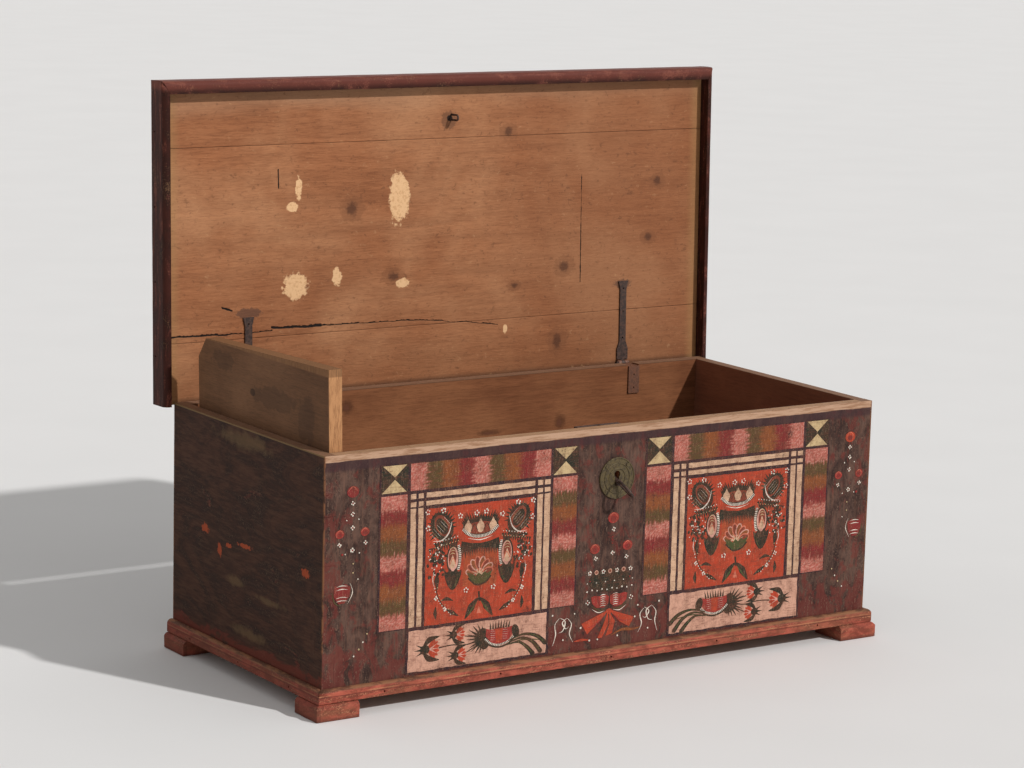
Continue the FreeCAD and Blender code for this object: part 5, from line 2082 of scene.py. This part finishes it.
    def lay_dabs(self, dabs: Mapping[Paint, list[tuple[float, float, float]]]) -> None:
        """Sets the raised dabs of each colour.

        Args:
            dabs: The place and the radius of each dab, by colour.
        """
        for paint, places in dabs.items():
            name = f"{paint.name.lower()}_dabs"
            depth = self.front - self.proud - self.over
            points = [Vector((u, depth, v)) * MM for u, v, _ in places]
            sizes = [radius * MM for _, _, radius in places]
            aims = [Vector((0, -1, 0))] * len(points)
            material = DabFinish(f"{name}_paint", paint.value).material()
            repeats = Repeats(name, Shape.DAB, material, seed=self.seed)
            piece = repeats.lay(points, aims, sizes)
            settle(piece, "carcass")
            log.info("%s: %d dabs", name, len(points))

    def skin(self, shapes: list[tuple[Paint, list[Point]]]) -> None:
        """Makes the skin of paint from every shape.

        Args:
            shapes: The shapes, the later ones over the earlier.
        """
        corners, faces = [], []
        for _, points in shapes:
            faces.append(list(range(len(corners), len(corners) + len(points))))
            corners.extend(Vector(point) for point in points)
        found = delaunay_2d_cdt(corners, [], faces, 0, self.merge, True)
        flat, triangles, origins = found[0], found[2], found[5]
        kept = []
        for triangle, origin in zip(triangles, origins):
            u, v = sum((flat[index] for index in triangle), Vector((0, 0))) / 3
            for shape in sorted(set(origin), reverse=True):
                if holds(shapes[shape][1], u, v):
                    kept.append((triangle, shape))
                    break
        work = bmesh.new()
        layer = work.loops.layers.float_color.new("paint")
        depth = self.front - self.proud
        verts = [work.verts.new((u * MM, depth * MM, v * MM)) for u, v in flat]
        for triangle, origin in kept:
            try:
                face = work.faces.new([verts[index] for index in triangle])
            except ValueError:
                continue
            for loop in face.loops:
                loop[layer] = shapes[origin][0].value
        loose = [vert for vert in work.verts if not vert.link_faces]
        bmesh.ops.delete(work, geom=loose, context="VERTS")
        bmesh.ops.recalc_face_normals(work, faces=work.faces)
        mesh = bpy.data.meshes.new("front_painting")
        work.to_mesh(mesh)
        work.free()
        piece = add(mesh, "front_painting")
        settle(piece, "carcass", PaintingFinish("folk_paint").material())
        log.info("front_painting: %d shapes, %d faces", len(shapes), len(mesh.polygons))


@dataclass
class Studio:
    """The floor, the light and the camera."""

    lens: float = 108.52
    sensor: float = 36.0
    clip: float = 200.0
    eye: tuple[float, float, float] = (-3.1743, -4.6956, 1.5063)
    turn: tuple[float, float, float] = (1.69956, -0.49128, 0.44773)
    sun_way: tuple[float, float, float] = (-0.45, 1.0, -0.8)
    sun_strength: float = 2.4
    sun_spread: float = 1.8
    sky: float = 0.44
    floor_reach: float = 60.0
    floor_light: Colour = tint(234, 232, 230)
    floor_dark: Colour = tint(226, 224, 222)

    def build(self) -> None:
        """Builds the studio."""
        self.camera()
        self.sun()
        self.world()
        self.floor()
        bpy.context.scene.view_settings.view_transform = "Standard"

    def camera(self) -> None:
        """Sets the camera at the photograph's angle."""
        data = bpy.data.cameras.new("camera")
        data.lens = self.lens
        data.sensor_width = self.sensor
        data.clip_end = self.clip
        camera = bpy.data.objects.new("camera", data)
        bpy.context.scene.collection.objects.link(camera)
        bpy.context.scene.camera = camera
        turn = Vector(self.turn)
        right, down, ahead = Matrix.Rotation(turn.length, 3, turn.normalized())
        seen = Matrix((right, -down, -ahead)).transposed().to_4x4()
        seen.translation = Vector(self.eye)
        camera.matrix_world = seen
        bpy.context.view_layer.update()

    def sun(self) -> None:
        """Adds a soft sun."""
        data = bpy.data.lights.new("window", "SUN")
        data.energy = self.sun_strength
        data.angle = math.radians(self.sun_spread)
        sun = bpy.data.objects.new("window", data)
        sun.rotation_euler = Vector(self.sun_way).to_track_quat("-Z", "Y").to_euler()
        bpy.context.scene.collection.objects.link(sun)

    def world(self) -> None:
        """Adds a pale sky, which the camera and the gloss see as white."""
        world = bpy.data.worlds.new("studio")
        bpy.context.scene.world = world
        world.use_nodes = True
        sky = Nodes(world.node_tree)
        rays = sky.node("ShaderNodeLightPath").outputs
        camera, glossy, through = (
            Value(sky, rays[f"Is {kind} Ray"]) for kind in ("Camera", "Glossy", "Transmission")
        )
        soft, white = (
            sky.node("ShaderNodeBackground", {}, {"Color": (1, 1, 1, 1), "Strength": strength})
            for strength in (self.sky, 1.0)
        )
        seen = camera.most(glossy).most(through)
        inputs = {0: seen, 1: soft.outputs[0], 2: white.outputs[0]}
        mixed = sky.node("ShaderNodeMixShader", {}, inputs)
        sky.node("ShaderNodeOutputWorld", {}, {"Surface": mixed.outputs[0]})

    def floor(self) -> None:
        """Adds the plain pale floor."""
        graph = Graph("floor")
        cloud = graph.noise(400, detail=2).over(0.5, 0.3)
        colour = graph.blend(cloud * 0.3, self.floor_light, self.floor_dark)
        mesh = bpy.data.meshes.new("floor")
        reach = self.floor_reach
        corners = [(-reach, -reach, 0), (reach, -reach, 0), (reach, reach, 0), (-reach, reach, 0)]
        mesh.from_pydata(corners, [], [(0, 1, 2, 3)])
        mesh.materials.append(graph.finish(colour, 0.8, specular=0.2))
        add(mesh, "floor")


@dataclass
class IronWork:
    """The hinges, the lock and the key, which keep the CAD's shapes, and their nails.

    A head's radius and how far it is sunk are in millimetres. Corners further out than
    `head_share` of the furthest are taken for the head's, and about `samples` corners are
    tried as the end of the nail's longest line. Known fault: `seat` puts the heads inside
    the wood, so that the nails' holes show in their place.
    """

    head: float = 4.2
    sunk: float = 0.9
    flush_head: float = 3.0
    flush_sunk: float = 1.9
    head_share: float = 0.8
    samples: int = 12
    seed: int = 5
    iron: MetalFinish = MetalFinish("forged_iron", tint(58, 46, 42), tint(84, 58, 46), 0.5)
    grimy: MetalFinish = MetalFinish("grimy_iron", tint(112, 72, 52), tint(88, 58, 43), 0.0)
    brass: MetalFinish = MetalFinish("old_brass_plate", tint(88, 74, 44), tint(56, 45, 30), 0.15)

    def nails(self, node: str) -> list[list[Vector]]:
        """Parts a CAD node into its loose nails.

        Args:
            node: The node, a group of loose nails.

        Returns:
            The corners of each nail.
        """
        work = merged(node)
        left, nails = dict.fromkeys(work.verts), []
        while left:
            spots, edge = [], [next(iter(left))]
            while edge:
                vertex = edge.pop()
                if vertex in left:
                    del left[vertex]
                    spots.append(vertex.co.copy())
                    edge.extend(other for link in vertex.link_edges for other in link.verts)
            nails.append(spots)
        work.free()
        return nails

    def seat(self, spots: Sequence[Vector]) -> tuple[Vector, Vector]:
        """Finds a place for a nail's head, from the corners furthest off its longest line.

        That line runs askew, from the head's rim to the tip's far side. The corners furthest
        off it belong to both ends, so their middle lies inside the wood, and not at the head.

        Args:
            spots: The nail's corners.

        Returns:
            The middle of those corners, and the way to it from the middle of the others.
        """
        far, near = max(
            ((a, b) for a in spots for b in spots[:: max(1, len(spots) // self.samples)]),
            key=lambda pair: (pair[0] - pair[1]).length,
        )
        middle = sum(spots, Vector()) / len(spots)
        axis = (far - near).normalized()
        reach = [((spot - middle) - axis * (spot - middle).dot(axis)).length for spot in spots]
        edge = max(reach) * self.head_share
        head = [spot for spot, out in zip(spots, reach) if out > edge]
        shaft = [spot for spot, out in zip(spots, reach) if out <= edge]
        seat = sum(head, Vector()) / len(head)
        return seat, (seat - sum(shaft, Vector()) / len(shaft)).normalized()

    def hammered(
        self,
        node: str,
        body: str,
        material: bpy.types.Material,
        flush: bool = False,
    ) -> None:
        """Puts hand-forged heads in the place of a group of CAD nails.

        Args:
            node: The node, a group of loose nails.
            body: The CAD body that it rides on.
            material: The heads' material.
            flush: Whether to use the smaller and more sunken heads of painted wood.
        """
        head, sunk = self.head, self.sunk
        if flush:
            head, sunk = self.flush_head, self.flush_sunk
        seats, ways = zip(*(self.seat(spots) for spots in self.nails(node)))
        seats = [seat - way * sunk * MM for seat, way in zip(seats, ways)]
        heads = Repeats(f"{node}_heads", Shape.NAIL, material, seed=self.seed)
        piece = heads.lay(seats, ways, [head * MM] * len(seats))
        settle(piece, body, None, [node])
        log.info("%s: %d heads", piece.name, len(seats))

    def build(self) -> None:
        """Dresses every iron and brass piece."""
        iron, grimy, brass = (metal.material() for metal in (self.iron, self.grimy, self.brass))
        self.hammered("strap_nails", "lid", iron)
        self.hammered("leaf_nails", "carcass", iron)
        red, maroon = (bpy.data.materials[name] for name in ("plinth_paint", "moulding_paint"))
        self.hammered("plinth_nails", "carcass", red, flush=True)
        self.hammered("foot_nails", "carcass", red, flush=True)
        self.hammered("lid_moulding_nails", "lid", maroon, flush=True)
        for name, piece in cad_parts.items():
            material = brass if name.startswith("escutcheon") else iron
            if name.startswith("hinge_leaf"):
                material = grimy
            if not piece.hide_render:
                piece.data.materials.clear()
                piece.data.materials.append(material)
                log.info("%s keeps its shape", name)


def main() -> None:
    """Builds the chest and the studio, in order, and reports each piece."""
    logging.basicConfig(level=logging.INFO, format="%(name)s: %(message)s")
    for part in (Studio(), WoodWork(), FrontPainting(), IronWork()):
        part.build()


if __name__ == "__main__":
    main()
